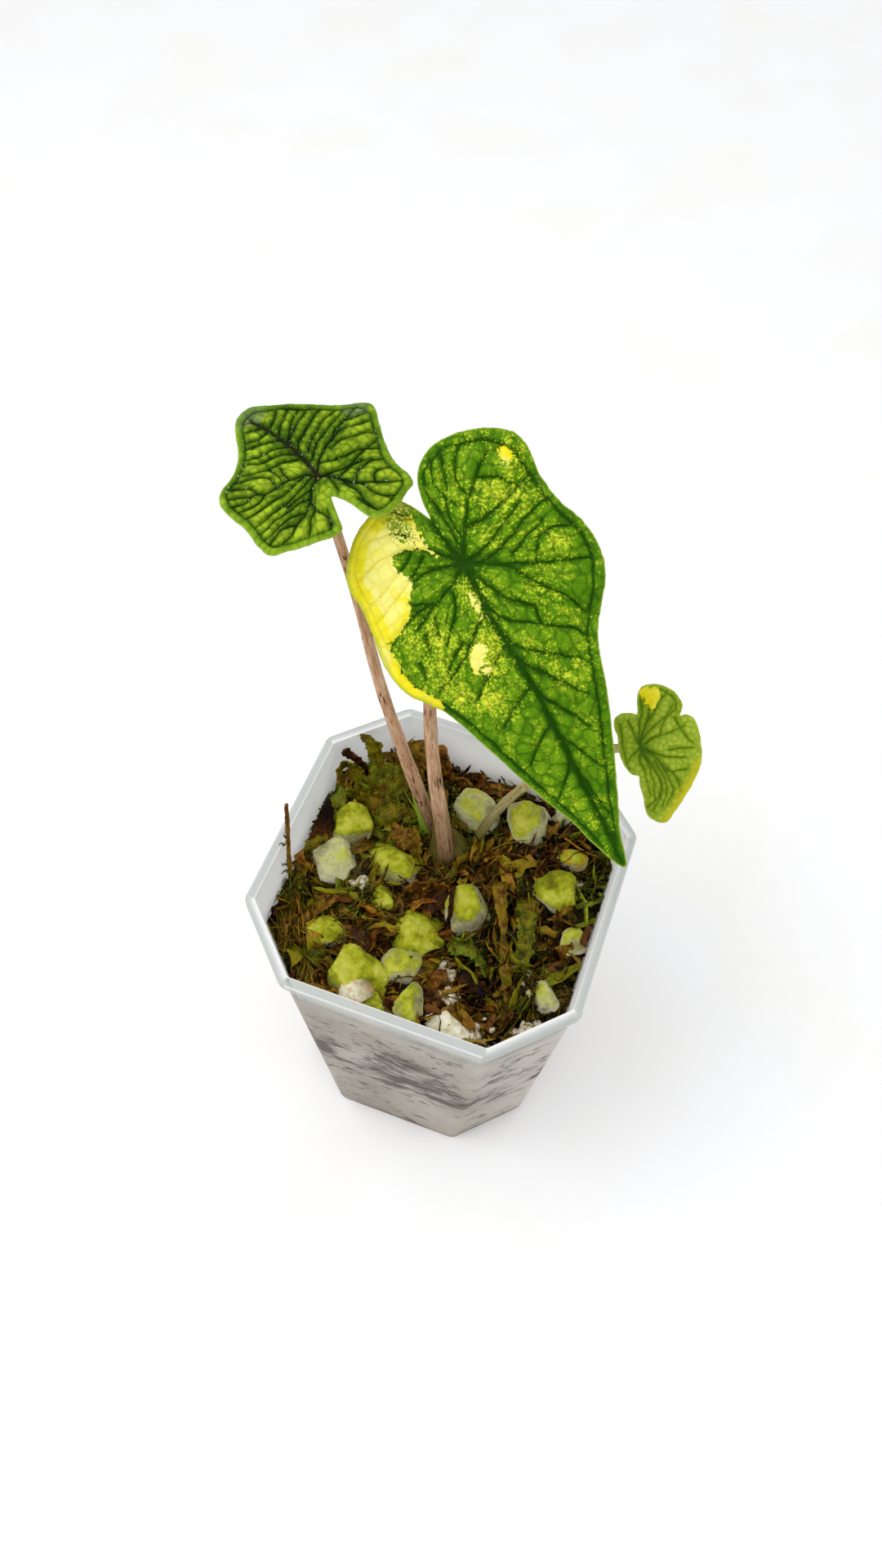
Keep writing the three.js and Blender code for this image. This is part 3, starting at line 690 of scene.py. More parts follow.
def cut_sheet(name, edge, cell):
    """A sheet of squares with everything outside the edge cut away and its border drawn onto the edge."""
    low, high = edge.min(0) - cell, edge.max(0) + cell
    side = (high - low).max()
    cuts = int(side / cell)
    deselect_all()
    bpy.ops.mesh.primitive_grid_add(x_subdivisions=cuts, y_subdivisions=cuts, size=side)
    sheet = bpy.context.object
    sheet.name = name
    places = corners(sheet)
    places[:, :2] += (low + high) / 2
    move_corners(sheet, places)
    bpy.ops.object.mode_set(mode="EDIT")
    bpy.ops.mesh.select_all(action="DESELECT")
    bpy.ops.object.mode_set(mode="OBJECT")
    sheet.data.vertices.foreach_set("select", ~inside(places[:, :2], edge))
    bpy.ops.object.mode_set(mode="EDIT")
    bpy.ops.mesh.delete(type="VERT")
    bpy.ops.mesh.select_all(action="SELECT")
    bpy.ops.mesh.delete_loose()
    bpy.ops.object.mode_set(mode="OBJECT")
    border = border_corners(sheet)
    places = corners(sheet)
    for i in border:
        places[i, :2] = edge[np.argmin(((edge - places[i, :2]) ** 2).sum(1))]
    move_corners(sheet, places)
    return sheet


def border_corners(sheet):
    """The corners on edges that belong to a single face."""
    mesh = sheet.data
    edge_of_loop = np.empty(len(mesh.loops), int)
    mesh.loops.foreach_get("edge_index", edge_of_loop)
    uses = np.bincount(edge_of_loop, minlength=len(mesh.edges))
    ends = np.empty(len(mesh.edges) * 2, int)
    mesh.edges.foreach_get("vertices", ends)
    return np.unique(ends.reshape(-1, 2)[uses == 1])


# %% [markdown]
# Three things are measured for every corner of a sheet: how near a vein it is, how near the margin, and
# how deep inside a patch of cream. Each vein has a half width that tapers to its tip. Leaf tissue grows
# in small islands, so many seeds are scattered over the sheet and each corner belongs to the nearest. The
# fine net of veins runs along the borders between them, and a patch takes or leaves an island as a whole.

# %% Measuring veins
VEIN_WIDTHS = {
    "midrib": (0.62, 0.24),
    "primary": (0.42, 0.2),
    "secondary": (0.28, 0.16),
    "margin": (0.22, 0.16),
}
FAR = 6.0


def vein_distance(places, veins):
    """The distance to the nearest vein, in its half widths and in millimetres."""
    in_widths = np.full(len(places), FAR)
    in_mm = np.full(len(places), FAR)
    spine = np.full(len(places), FAR)
    for kind, paths in veins.items():
        start, end = VEIN_WIDTHS[kind]
        for points in paths:
            path = smooth_path(points, 6 * len(points))
            near = ((places > path.min(0) - 2) & (places < path.max(0) + 2)).all(1)
            gap, share = distance_to_path(places[near], path)
            in_widths[near] = np.minimum(in_widths[near], gap / (start + (end - start) * share))
            in_mm[near] = np.minimum(in_mm[near], gap)
            if kind == "midrib":
                spine = np.minimum(spine, distance_to_path(places, path)[0] * (1 + 2 * share.mean()))
    return in_widths, in_mm, spine

# %% [markdown]
# Patches and islands are measured for places that noise has pushed about, so their borders are never
# straight. Where two seeds are equally near is the border of an island.

# %% Measuring patches and islands


def patch_depth(places, patches):
    """How many millimetres inside the nearest patch each place lies, negative outside all of them."""
    depth = np.full(len(places), -FAR)
    for points in patches:
        ring = np.array(points, float)
        gap, _ = distance_to_path(places, np.vstack([ring, ring[:1]]))
        depth = np.maximum(depth, np.where(inside(places, ring), gap, -gap))
    return np.maximum(depth, -FAR)


def islands(places, spacing, seed):
    """The seed nearest to each place, and how far the place is from the border of that seed's island."""
    random = np.random.default_rng(seed)
    low = places.min(0) - 3 * spacing
    count = np.ceil((places.max(0) - low) / spacing).astype(int) + 3
    across, up = np.meshgrid(range(count[0]), range(count[1]), indexing="ij")
    seeds = low + (np.stack([across, up], -1) + random.uniform(-0.42, 0.42, (*count, 2))) * spacing
    home = np.round((places - low) / spacing).astype(int)
    first = np.full(len(places), np.inf)
    second = np.full(len(places), np.inf)
    nearest = np.zeros_like(places)
    for i in (-1, 0, 1):
        for j in (-1, 0, 1):
            seed_place = seeds[home[:, 0] + i, home[:, 1] + j]
            gap = np.linalg.norm(places - seed_place, axis=1)
            second = np.minimum(second, np.maximum(first, gap))
            nearest[gap < first] = seed_place[gap < first]
            first = np.minimum(first, gap)
    return nearest, (second - first) / 2


print("Depth of (1, 2) in the square:", patch_depth(np.array([[1.0, 2.0]]), [corner_square])[0])

# %% [markdown]
# One function makes every blade from its outline, its broad bend, its veins and the depth of its
# quilting. Traced veins are too straight, so the places they are measured from are pushed about by a
# little noise. The attribute fan spreads from the stalk like the veins do, for the fine streaks of the
# skin.

# %% Making a blade
BLADE_THICKNESS = 0.5
VEIN_WAVER = 0.3
SWELL_WITHIN = 0.9
PUFF_WITHIN = 0.45
FLAT_RIM = 1.2
ISLAND = 0.9
FAN_TURN = 14
FAN_LENGTH = 0.22


def wavered(places, amount, size, seed):
    push = [grain(places, size, seed + shift) for shift in (0, 11)]
    return places[:, :2] + amount * np.column_stack(push)


def make_blade(name, leaf, veins, cream, marble, cell=0.27, quilt=0.4, net=0.16, net_spacing=2.6,
               groove=0.36, roll=0.05, seed=3):
    edge = blade_edge(leaf["outline"])
    sheet = cut_sheet(name, edge, cell)
    places = corners(sheet)
    flat = places[:, :2].copy()
    in_widths, in_mm, spine = vein_distance(wavered(places, VEIN_WAVER, 2.4, seed), veins)
    rim, _ = distance_to_path(flat, np.vstack([edge, edge[:1]])[::2])
    net_gap = islands(wavered(places, 0.6, 4, seed + 1), net_spacing, seed)[1]
    island = islands(wavered(places, 0.3, 1.5, seed + 2), ISLAND, seed)[0]
    swell = 1 - np.exp(-(in_mm / SWELL_WITHIN) ** 1.5)
    puff = 1 - np.exp(-(net_gap / PUFF_WITHIN) ** 1.5)
    inward = 1 - np.exp(-rim / FLAT_RIM)
    lift = (quilt * swell + net * puff) * inward
    lift -= groove * np.exp(-in_widths ** 2 / 2.2) * inward
    lift += roll * np.sin(np.clip(rim / 1.3, 0, 1) * math.pi)
    lift += 0.10 * grain(places, 3.1, 7.0) + 0.04 * grain(places, 0.9, 5.0)
    bend = np.array([leaf["relief"](u, v) for u, v in flat])
    places[:, 2] = bend + lift - quilt / 2
    move_corners(sheet, places)
    reach = np.linalg.norm(flat, axis=1)
    turn = np.arctan2(flat[:, 1], flat[:, 0])
    write_attribute(sheet, "vein", in_widths)
    write_attribute(sheet, "spine", np.minimum(spine, 0.7 * reach))
    write_attribute(sheet, "net", net_gap)
    write_attribute(sheet, "rim", rim)
    # The skin lights the quilting's tops by pillow, as painted light.
    write_attribute(sheet, "pillow", np.clip(swell * (0.6 + 0.4 * puff), 0, 1))
    write_attribute(sheet, "fan", np.column_stack([FAN_TURN * turn, FAN_LENGTH * reach, 0 * reach]) * MM)
    for key, patches in {"cream": cream, "marble": marble, **leaf.get("patches", {})}.items():
        write_attribute(sheet, key, 0.35 * patch_depth(flat, patches) + 0.65 * patch_depth(island, patches))
    apply_modifier(sheet, "SOLIDIFY", thickness=BLADE_THICKNESS, offset=0, use_even_offset=False)
    place_blade(sheet, leaf)
    return sheet


def place_blade(sheet, leaf):
    """Turns a flat blade by its facing and its midrib, and moves it to where its stalk joins."""
    facing = Vector(leaf["facing"]).normalized()
    along = Vector(leaf["midrib"])
    along = (along - along.dot(facing) * facing).normalized()
    across = facing.cross(along)
    turned = Matrix((along, across, facing)).transposed().to_4x4()
    sheet.data.transform(Matrix.Translation(leaf["junction"]) @ turned)
    make_active(sheet)
    bpy.ops.object.shade_smooth()


# %% [markdown]
# ### The big leaf: its shape, veins and patches
# The arrow-shaped blade hangs towards the front right. From the stalk, veins fan out into both back lobes
# and down both sides of the midrib, and a vein runs along the margin and ties their ends together. Half
# of the left lobe is cream and yellow, cut off sharply along the veins, and flecks of yellow marble the
# rest. The lists below give the veins in groups by thickness, and the patches as rough outlines.

# %% Big leaf layout
BIG_LEAF = {
    "junction": (-7.0, 23.2, 170),
    "facing": (-0.005, -0.692, 0.722),
    "midrib": (0.721, -0.503, -0.477),
    "outline": [
        [65.7, -2.6], [59, 0], [52, 3.4], [44.5, 6.9], [37.7, 9.8], [32, 12.1], [26.6, 13.8], [22.6, 15.7],
        [19.6, 18], [16.2, 20.7], [12.8, 22.4], [8.8, 23], [4.1, 22.6], [-0.6, 20.9], [-6.7, 20],
        [-12.4, 20.5], [-15.8, 19.8], [-18.5, 17.2], [-20.8, 13.1], [-22, 8.7], [-22, 4.9], [-20.4, 1.7],
        [-17.9, -0.2], [-14, -1.1], [-10.6, -1.4], [-12.8, -2.5], [-14.8, -3.6], [-16.6, -5], [-17.5, -7.7],
        [-17.2, -11.5], [-15.9, -15.2], [-13.2, -18.8], [-10.2, -21.5], [-7, -22.3], [-3.1, -21.9],
        [2.4, -22.6], [7.7, -23.8], [12, -23.5], [15.8, -22.1], [18.6, -20], [22.6, -17.3], [32.5, -13.6],
        [40, -11.3], [47.2, -8.9], [52.5, -6.9], [58.8, -5.4],
    ],
    "relief": lambda u, v: (
        0.1 * abs(v) - 0.0085 * v * v - 0.0016 * max(u, 0) ** 2 - 0.004 * min(u, 0) ** 2
        + 0.35 * math.sin(0.42 * u + 1) * abs(v / 24)
    ),
    "patches": {
        "speckle": [[[-16.5, -3], [-12, -4], [-7.5, -5.5], [-9.5, -9.5], [-14, -10], [-17, -8]]],
    },
}
BIG_VEINS = {
    "midrib": [
        [[0, 0], [14, -0.5], [26, 0], [36.5, -0.5], [51.5, -1.5], [64.5, -2.6]],
        [[0, 0], [-5.5, -1], [-10.5, -1.5]],
    ],
    "primary": [
        [[0, 0], [4, 7], [8, 14.5], [9.5, 18], [11, 20.5]],
        [[0, 0], [-7, 4.5], [-12.5, 9.5], [-15.5, 13.5]],
        [[0, 0], [1.5, 4], [0.5, 9.5], [-1, 13], [-2.5, 18.5]],
        [[0, 0], [-0.5, 4.5], [-2, 8.5], [-4.5, 14.5]],
        [[-5.5, 3.5], [-5.5, 9], [-6.5, 13.5], [-8, 18]], [[0, 0], [2, -3.5], [3.5, -8], [6, -14]],
        [[0, 0], [-1.5, -4], [-2.2, -6.5], [-2, -10]],
        [[0, 0], [-4, -3], [-7.5, -7], [-9, -13], [-8.5, -19]], [[21, 0], [26.5, 4], [32.5, 8]],
        [[28, 0], [34, 3.5], [38, 5.5]],
        [[2, 0.5], [9, 3.5], [13.5, 7.5], [17, 7.5], [20.5, 12], [22.5, 13]],
    ],
    "secondary": [
        [[4.5, 7], [10.5, 10.5], [15.5, 14], [20, 15.5]], [[9.5, 0], [13, 2], [15, 4.5], [17, 7.5]],
        [[15.5, 0], [18.5, 1.5], [25, 9], [27.5, 11.5]], [[36.5, -0.5], [40, 1], [46.5, 4]],
        [[45, -1], [49, -0.4], [54.5, 0]], [[-12.5, 9.5], [-10.5, 13], [-8, 15]],
        [[3, 9], [2, 12], [0.5, 16.5]], [[6.5, 12], [2.5, 15], [2.8, 18], [4, 20.5]],
        [[-19.5, 10], [-17, 7.5], [-13.5, 6.5], [-10.5, 7]], [[-20, 6], [-16, 5], [-13.5, 4]],
        [[-13, 0.6], [-10, 1], [-5, 1], [-2.5, 1.5]], [[-12.5, 3], [-8.5, 2], [-4.5, 2]],
        [[3.5, -4.5], [6.5, -5.5], [11.5, -10.5]], [[6, -10], [7.5, -10.5], [9.5, -11]],
        [[7.5, -13], [9.5, -13.5], [11, -14]], [[12.5, -7.5], [14.5, -11], [16, -13]],
        [[4, -8.5], [2.5, -10.5], [1, -13]], [[11.5, -17], [13, -17], [15, -17.5]],
        [[26, -0.5], [28.5, -6], [30.5, -9]], [[34, -1], [36.5, -5], [39, -8]],
        [[17, -1], [20.5, -6.5], [23.5, -11]], [[9, -0.5], [12.5, -5], [16, -10], [18, -16]],
        [[42, -1], [45, -4], [47, -6.5]], [[-5, -6], [-2, -12], [0, -18], [1, -20.5]],
        [[-7.5, -7], [-4, -14], [-3, -20]], [[-8, -5], [-12, -9], [-13.5, -14]],
        [[3.5, -8], [3.5, -14], [6, -20.5]],
    ],
    "margin": [
        [[-19, 11.5], [-17.5, 14.5], [-13.5, 18], [-9, 18.3], [-3, 19], [1.5, 20], [5.5, 21.2], [10, 21.2],
         [15, 19], [19, 16.2], [22.5, 13.5], [27, 12], [33, 9.7], [39.5, 7], [46, 4.3], [54, 1],
         [61, -1.8]],
        [[-19, 11.5], [-20.5, 7], [-19.5, 4], [-16.5, 2.5], [-13, 3], [-9.5, 4.5]],
        [[-20, 4], [-18.5, 1.5], [-15.5, 0.3], [-13, 0.5]],
        [[18, -18.5], [26.5, -14.2], [33.5, -11.8], [43.5, -8.8], [53, -5.7], [60, -4.3]],
        [[-12, -4.5], [-15.5, -7], [-15.8, -11], [-13.5, -16], [-9, -20], [-3, -20.2], [3, -20.8],
         [9, -21.5], [14, -20.5], [18, -18.5]],
    ],
}
BIG_CREAM = [
    [[-18, -3.6], [-14.5, -4], [-9.5, -4.4], [-6, -4.3], [-3, -3], [-5.5, -5], [-7, -6.5], [-8, -8],
     [-8.5, -11], [-7, -11.5], [-5.5, -11.5], [-3.5, -10.5], [-1.5, -10.5], [0, -12], [2.5, -13.5],
     [4, -16], [5, -17.5], [5, -20.5], [6.5, -21], [9.5, -20.5], [10.5, -21.5], [13, -21], [15.5, -20],
     [17.5, -18.5],
     [19.5, -17], [23, -18], [18.5, -26], [9.5, -28], [-3, -27], [-13, -24], [-20, -16], [-21, -8.5]],
    [[14, -6], [14, -4.5], [16, -4], [17, -5.5], [18.5, -7], [19, -8.5], [17.5, -8.2], [15.5, -7.5]],
    [[17.5, -5.2], [20, -5], [20.5, -6.5], [19, -6.8]],
    [[5, -1.9], [8, -1.2], [10.8, -2.2], [9, -2.2], [7, -2.4]],
    [[-15.5, 16], [-14.5, 17.7], [-12.3, 17.4], [-11, 15.7], [-13.5, 15.5]],
]
BIG_MARBLE = [
    [[3, -2], [5.5, -0.5], [11.5, -0.7], [18, -1.5], [22.5, -3], [22, -7], [18.5, -9.5], [14.5, -8.5],
     [11, -5], [6.5, -3]],
    [[2.5, -14], [5, -9.5], [11, -11], [15, -12], [14.5, -14.5], [11.5, -20], [6, -20], [5.5, -16.5]],
    [[14.5, -12.5], [18.5, -10.5], [21.5, -11.5], [24, -6.5], [29, -4], [27.5, -10.5], [21.5, -14.5],
     [17.5, -16.5]],
    [[-20.5, 12], [-18.5, 16], [-15.5, 18.5], [-11.5, 19.5], [-8, 18.5], [-8.5, 15.5], [-13.5, 15.5],
     [-17, 13]],
    [[-9.5, 7], [-10.5, 10], [-7.5, 14.5], [-6, 12.5], [-5.5, 8], [-5.5, 5.5]],
    [[-4.5, 9.5], [-5.5, 12.5], [-3, 9.5], [-2.5, 7]],
    [[-8, 15.5], [-7, 18], [-3.5, 18.5], [-4, 16.5], [-5.5, 15]],
    [[2.5, 16.5], [3.5, 19], [6, 18.5], [5, 16.5]],
    [[20, 3], [22, 6], [27, 8], [26, 5]],
    [[9, 10], [13, 13], [17, 11], [12, 9]],
]
big_blade = make_blade("leaf_centre_blade", BIG_LEAF, BIG_VEINS, BIG_CREAM, BIG_MARBLE)
print("Big blade corners:", len(big_blade.data.vertices))

# %% [markdown]
# ### The left leaf: its shape and veins
# A younger blade with five corners. Its veins are dark and deep, the fields between them stand up as long
# ribs, and the margin is rolled into a smooth pale bead. It has a silvery bloom at two corners.

# %% Left leaf layout


def left_relief(u, v):
    r = math.hypot(u, v)
    return 0.02 * abs(v) - 0.006 * r * r + 0.03 * r * math.cos(5 * math.atan2(v, u))


LEFT_LEAF = {
    "junction": (-36.9, 24.9, 180),
    "facing": (0.1, -0.22, 0.97),
    "midrib": (-0.81, 0.55, 0.21),
    "outline": [
        [20.9, 1.8], [20.2, 5.2], [17.2, 7.2], [13.9, 8.6], [10.7, 10.8], [8.9, 12.9], [7.4, 16], [6, 17.3],
        [3.9, 17.7], [1.2, 17.2], [-2.2, 16.3], [-5.6, 16.2], [-8.3, 15.5], [-9.6, 12.8], [-10.8, 9.6],
        [-11.3, 7.2], [-11.8, 4.4], [-11.4, 2.1], [-8.9, 1.3], [-6.5, 0.7], [-4.7, 0], [-6, -1.2],
        [-8.1, -2.4], [-10.4, -3.2], [-12.2, -4.1], [-13.1, -6], [-13, -8.3], [-12.2, -10.5], [-11, -12.4],
        [-10, -14.5], [-7.9, -15.1], [-5.4, -14.5], [-2.4, -14.4], [0.8, -15.2], [4.2, -16.4], [7.2, -17.6],
        [9, -17.8], [10.2, -16.6], [12, -13], [14, -10.4], [16.3, -6.8], [18.9, -1.7],
    ],
    "relief": left_relief,
    "patches": {
        "bloom": [
            [[16.5, 2], [17.5, 6.5], [21, 5.5], [21.5, 1.5], [19, -0.8], [17.5, 0]],
            [[8.5, -12.5], [7.5, -16.5], [9.5, -18], [11.5, -14.5], [11.5, -11.5]],
        ],
    },
}
LEFT_VEINS = {
    "midrib": [[[-0.5, 0], [4, 0], [9.5, 1], [14, 2], [18.5, 3.5]]],
    "primary": [
        [[0, 0], [2, -1.5], [4, -3.8], [7, -8.5], [10, -15.5]],
        [[-0.5, 0], [-1, -2], [-2.5, -3.2], [-5, -5.5], [-6.5, -8.5], [-8.5, -13.5]],
        [[-0.5, 0], [1.5, 1.5], [2, 4], [2, 9.5], [3.5, 13], [5, 16]],
        [[-0.5, 0], [-1.5, 2], [-4, 4], [-6.5, 8], [-8, 12.5]],
    ],
    "secondary": [
        [[-4, 4], [-5.5, 4], [-7, 5.5], [-10, 8]], [[-6, 4], [-8, 3], [-9.5, 3.2], [-10.5, 4]],
        [[8, 0.5], [9.5, 3], [10.5, 8.5], [11, 9.5]], [[10.5, 1], [11.5, 3.5], [12.5, 6], [13, 7.5]],
        [[6, 0.5], [8, 3], [8.5, 6.5], [10, 10]], [[5, 1], [6, 3], [6.5, 7], [8, 11.5]],
        [[6.5, 6.5], [4.5, 6], [2.5, 6]], [[13.5, 2], [13.5, 5], [14.5, 7]],
        [[15, 2.5], [16, 4.5], [16.5, 6]], [[16, 2.8], [18, 4], [18.3, 5]],
        [[6.5, 0], [8, -1], [10, -3.5], [13.5, -9]], [[8, 0.5], [10, -0.5], [12, -3], [14.5, -7]],
        [[5.5, -1.5], [7.5, -3.5], [10.5, -8], [11.5, -11.5]],
        [[3.5, -1], [6, -3.5], [8, -7], [10.5, -12.5]], [[9.5, 0.5], [13, -2.5], [15.5, -5.5]],
        [[12, 1], [14, -1], [16.5, -3.8]], [[13.8, 1.8], [16, -0.5], [17.8, -2]],
        [[4, -5.5], [4.5, -8], [3, -14]], [[5.5, -6.5], [6.5, -9.5], [5.5, -14.8]],
        [[7, -8.7], [8, -11.5], [7.5, -15.5]], [[2, -2], [1, -6], [1, -9.5], [-0.5, -13.5]],
        [[-0.5, -1.5], [-1, -6], [0, -9.5], [1.2, -13.8]], [[-5, -5.5], [-3, -7], [-2, -10], [-3, -13]],
        [[-2.5, -3.2], [-1.5, -6], [-1.2, -9]], [[-6.5, -8.5], [-4.5, -10], [-5, -13.5]],
        [[-5.5, -6], [-9, -7.5], [-11, -10.5]], [[-3, -3.3], [-6, -4.5], [-9, -4.8], [-11.8, -5.6]],
        [[-1, -1.8], [-4, -1.8], [-5, -1.5]], [[1.5, 1.5], [0.5, 5.5], [0, 11.5], [0, 15.5]],
        [[0.5, 1], [-1, 5], [-2, 11.5], [-2.2, 15]], [[-1.5, 2], [-2.2, 5.5], [-2.2, 8]],
        [[-3.5, 3.6], [-3, 6.5], [-3.8, 14.8]], [[-5.2, 6], [-4.5, 8.5], [-5.4, 14.8]],
        [[-6.5, 8.5], [-5.5, 11], [-6.8, 14.6]], [[2, 9.8], [1.2, 12], [1.6, 16]],
        [[3, 12], [2.6, 14], [3.4, 16.4]], [[2, 4.5], [4, 4.8], [5.5, 4.5]],
        [[2, 7.5], [5, 8], [7.2, 13.5]], [[2.6, 11], [4.5, 11.5], [6.2, 14.6]],
    ],
    "margin": [
        [[19.6, 2], [18.9, 4.6], [16.5, 6.2], [13.2, 7.6], [10, 9.9], [7.9, 12.4], [6.4, 15.5], [4.5, 16.4],
         [1.4, 16], [-2.2, 15.1], [-5.4, 15], [-7.5, 14.2], [-8.5, 12.4], [-9.7, 9.2], [-10.2, 7],
         [-10.6, 4.6], [-9.8, 3], [-6.5, 2]],
        [[19.6, 2], [17.8, -1.6], [15.2, -6.1], [13, -9.7], [10.9, -12.4], [9.3, -15.6], [7, -16.3],
         [4, -15.2], [0.5, -13.9], [-2.6, -13.1], [-5.4, -13.2], [-7.7, -13.7], [-9.2, -13], [-11, -9.9],
         [-11.8, -7.8], [-11.6, -5.6], [-8.2, -3.8]],
    ],
}
left_blade = make_blade("leaf_left_blade", LEFT_LEAF, LEFT_VEINS, [], [], cell=0.2, quilt=0.5, net=0.06,
                        net_spacing=1.7, groove=0.36, roll=0.3, seed=5)
print("Left blade corners:", len(left_blade.data.vertices))

# %% [markdown]
# ### The right leaf: its shape and veins
# The smallest blade has not flattened yet. It is crumpled into pleats that radiate from the stalk, lime
# green, with a cream patch on the upper lobe and a yellow margin below.

# %% Right leaf layout


def right_relief(u, v):
    r = math.hypot(u, v)
    turn = math.atan2(v, u)
    return 0.011 * r * r * math.cos(2 * turn) - 0.03 * min(u, 0) ** 2 + 0.04 * r * math.sin(7 * turn)


RIGHT_LEAF = {
    "junction": (34.3, 24.3, 130),
    "facing": (0.25, -0.6, 0.76),
    "midrib": (0.933, 0.359, -0.024),
    "outline": [
        [12.7, -1], [12.2, 1.7], [11.6, 4.3], [10.7, 6.3], [9.4, 6.9], [8.1, 6.7], [8.4, 8], [8.4, 9.3],
        [7.5, 10.8], [6, 12.2], [4, 13], [2.1, 13.1], [0.4, 12.6], [-0.6, 11.4], [-0.9, 9.6], [-1, 6.8],
        [-2.6, 7], [-4.2, 6.9], [-5.4, 5.8], [-5.6, 4], [-4.9, 1.9], [-4.6, -0.6], [-3.8, -3.1], [-2.6, -5],
        [-1.2, -6], [-0.1, -6.2], [0.2, -7.9], [0.8, -9.6], [1.4, -11.2], [1.7, -12.8], [2.5, -14.7],
        [4, -16], [5.7, -16.7], [7.3, -16.4], [8.2, -14.5], [9.2, -12.5], [9.9, -10.4], [11, -7.8],
        [12, -5.4], [12.7, -3.2],
    ],
    "relief": right_relief,
    "patches": {
        "yellow_edge": [[[13.5, -1], [11.8, -3], [10.8, -6], [9, -9.5], [8, -12.5], [6.5, -15.5], [7, -18],
                         [10, -14], [14, -5]]],
    },
}
RIGHT_VEINS = {
    "primary": [
        [[0, 0], [2.5, -1], [5.5, -2], [9.5, -2]], [[0, 0], [0.5, 4], [3, 8], [3.5, 9.5], [5.5, 11.7]],
        [[0, 0], [1.5, -2.5], [4.5, -7], [5, -10.5], [3.5, -14]],
        [[0, 0], [3.5, -2.5], [6.5, -7], [7.5, -9.5], [6.8, -12.5]],
    ],
    "secondary": [
        [[0.5, 1.5], [1.5, 3.5], [5, 6.5], [6.5, 9]], [[4, 3], [4.5, 5], [7, 8]],
        [[0, 0], [-0.6, 3.5], [0, 7], [0.6, 10.5]], [[0.4, 4], [1.5, 6.5], [1.8, 9.5]],
        [[0, 0], [0, -3], [1, -5], [3, -10.5]], [[0.5, -1.5], [2.2, -5], [3.6, -8.5], [3.8, -11.5]],
        [[4.5, -3.5], [6.5, -5], [10, -4.5]], [[6, -0.5], [8.5, 0], [11, 0]],
        [[7, 6.3], [8.5, 3.5], [11, 1]], [[0, 0], [-2, 3.5], [-3, 5.5]],
        [[0, 0], [-2, -2], [-2.6, -3.5]], [[2.5, -13], [4, -11.5], [5, -9.5]],
        [[5.5, -4], [8, -6.5], [9, -9.5]], [[1, 0.5], [3, 2.2], [6, 3], [9, 4.5]],
        [[3, -3], [5, -6], [6.2, -9.5], [5.8, -13]],
    ],
    "margin": [
        [[-4.6, 4.8], [-4.2, 2], [-3.8, -0.8], [-3, -3.2], [-2, -4.8]],
        [[0, 6.5], [0.2, 11], [2, 12.2], [4, 12.1], [6.8, 10.2], [7.4, 8]],
    ],
}
RIGHT_CREAM = [[[-0.6, 11.8], [1.5, 12.8], [3.6, 12.4], [3.8, 11], [3.2, 9.3], [2.2, 7.6], [1.4, 8.6],
                [0.4, 10.2]]]
right_blade = make_blade("leaf_right_blade", RIGHT_LEAF, RIGHT_VEINS, RIGHT_CREAM, [], cell=0.17,
                         quilt=0.42, net=0.1, net_spacing=1.3, groove=0.24, roll=0.1, seed=9)
print("Right blade corners:", len(right_blade.data.vertices))

# %% [markdown]
# ## Leaf skin
# The upper face of an aroid leaf is a thin cuticle of wax that the leaf grows over its green tissue. It
# is smooth but pillowed, so it shines softly and in patches, like satin. Where the plant's cells make no
# green, the leaf is yellow or cream, and the line between runs round islands of tissue. The first layer
# is the green: it is painted lighter on the tops of the quilting and darker beside the veins and the
# midrib, which is painted light and shade of the relief; it varies with fine streaks and carries flecks
# of yellow. Real flecks go down to a single cell, far too fine to show, so the smallest are drawn half a
# millimetre wide.

# %% Green tissue


def green_tissue(tree, look, measure, noises):
    """The green, painted light on quilt tops, painted shade by veins and midrib, dark margin, yellow
    flecks.
    """
    fine, streak, broad, grit = noises
    # shade is painted shade beside the midrib and the veins; it also darkens the margin band.
    shade = 0.0
    for key, start, full, most in (
        ("spine", 2.8, 0.3, look["spine_shade"]), ("rim", 2.8, 0.7, look["rim_shade"]),
        ("vein", look["halo_spread"], 0.8, look["halo"]),
    ):
        near = add(tree, "MapRange", {
            "Value": measure[key], "From Min": start, "From Max": full, "To Max": most,
        })
        shade = add(tree, "Math", {0: shade, 1: near}, operation="ADD")
    # Painted light: the pillow measure makes the tops of the quilting lighter.
    lit = look["base"]
    layers = {"mottle": fine, "streak": streak, "cloud": broad, "pillow": measure["pillow"]}
    for weight, layer in layers.items():
        lit = add(tree, "Math", {0: layer, 1: look[weight], 2: lit}, operation="MULTIPLY_ADD")
    lit = add(tree, "Math", {0: lit, 1: shade}, operation="SUBTRACT")
    green = add(tree, "ValToRGB", {"Fac": lit}, stops=[
        (0.05, look["deep"]), (0.45, look["mid"]), (0.95, look["light"]),
    ])
    fleck = add(tree, "MapRange", {
        "Value": measure["marble"], "From Min": -3.0, "From Max": 1.0,
        "To Min": look["fleck_far"], "To Max": look["fleck_near"],
    })
    for layer, weight in ((broad, 0.4), (streak, 0.5), (shade, -0.22), (grit, 1.0)):
        fleck = add(tree, "Math", {0: layer, 1: weight, 2: fleck}, operation="MULTIPLY_ADD")
    hue = add(tree, "MapRange", {"Value": fleck, "From Min": 1.0, "From Max": 1.26})
    yellow = add(tree, "ValToRGB", {"Fac": hue}, stops=[
        (0.0, look["fleck_dull"]), (0.5, look["fleck_mid"]), (1.0, look["fleck"]),
    ])
    return coat(tree, green, yellow, fleck, 0.96, 1.08)


# %% [markdown]
# Veins are dark lines with the fine net between them. A patch without green is yellow and palest in its
# middle, where no green tissue is near, and the veins only show faintly on it.

# %% Veins and cream tissue


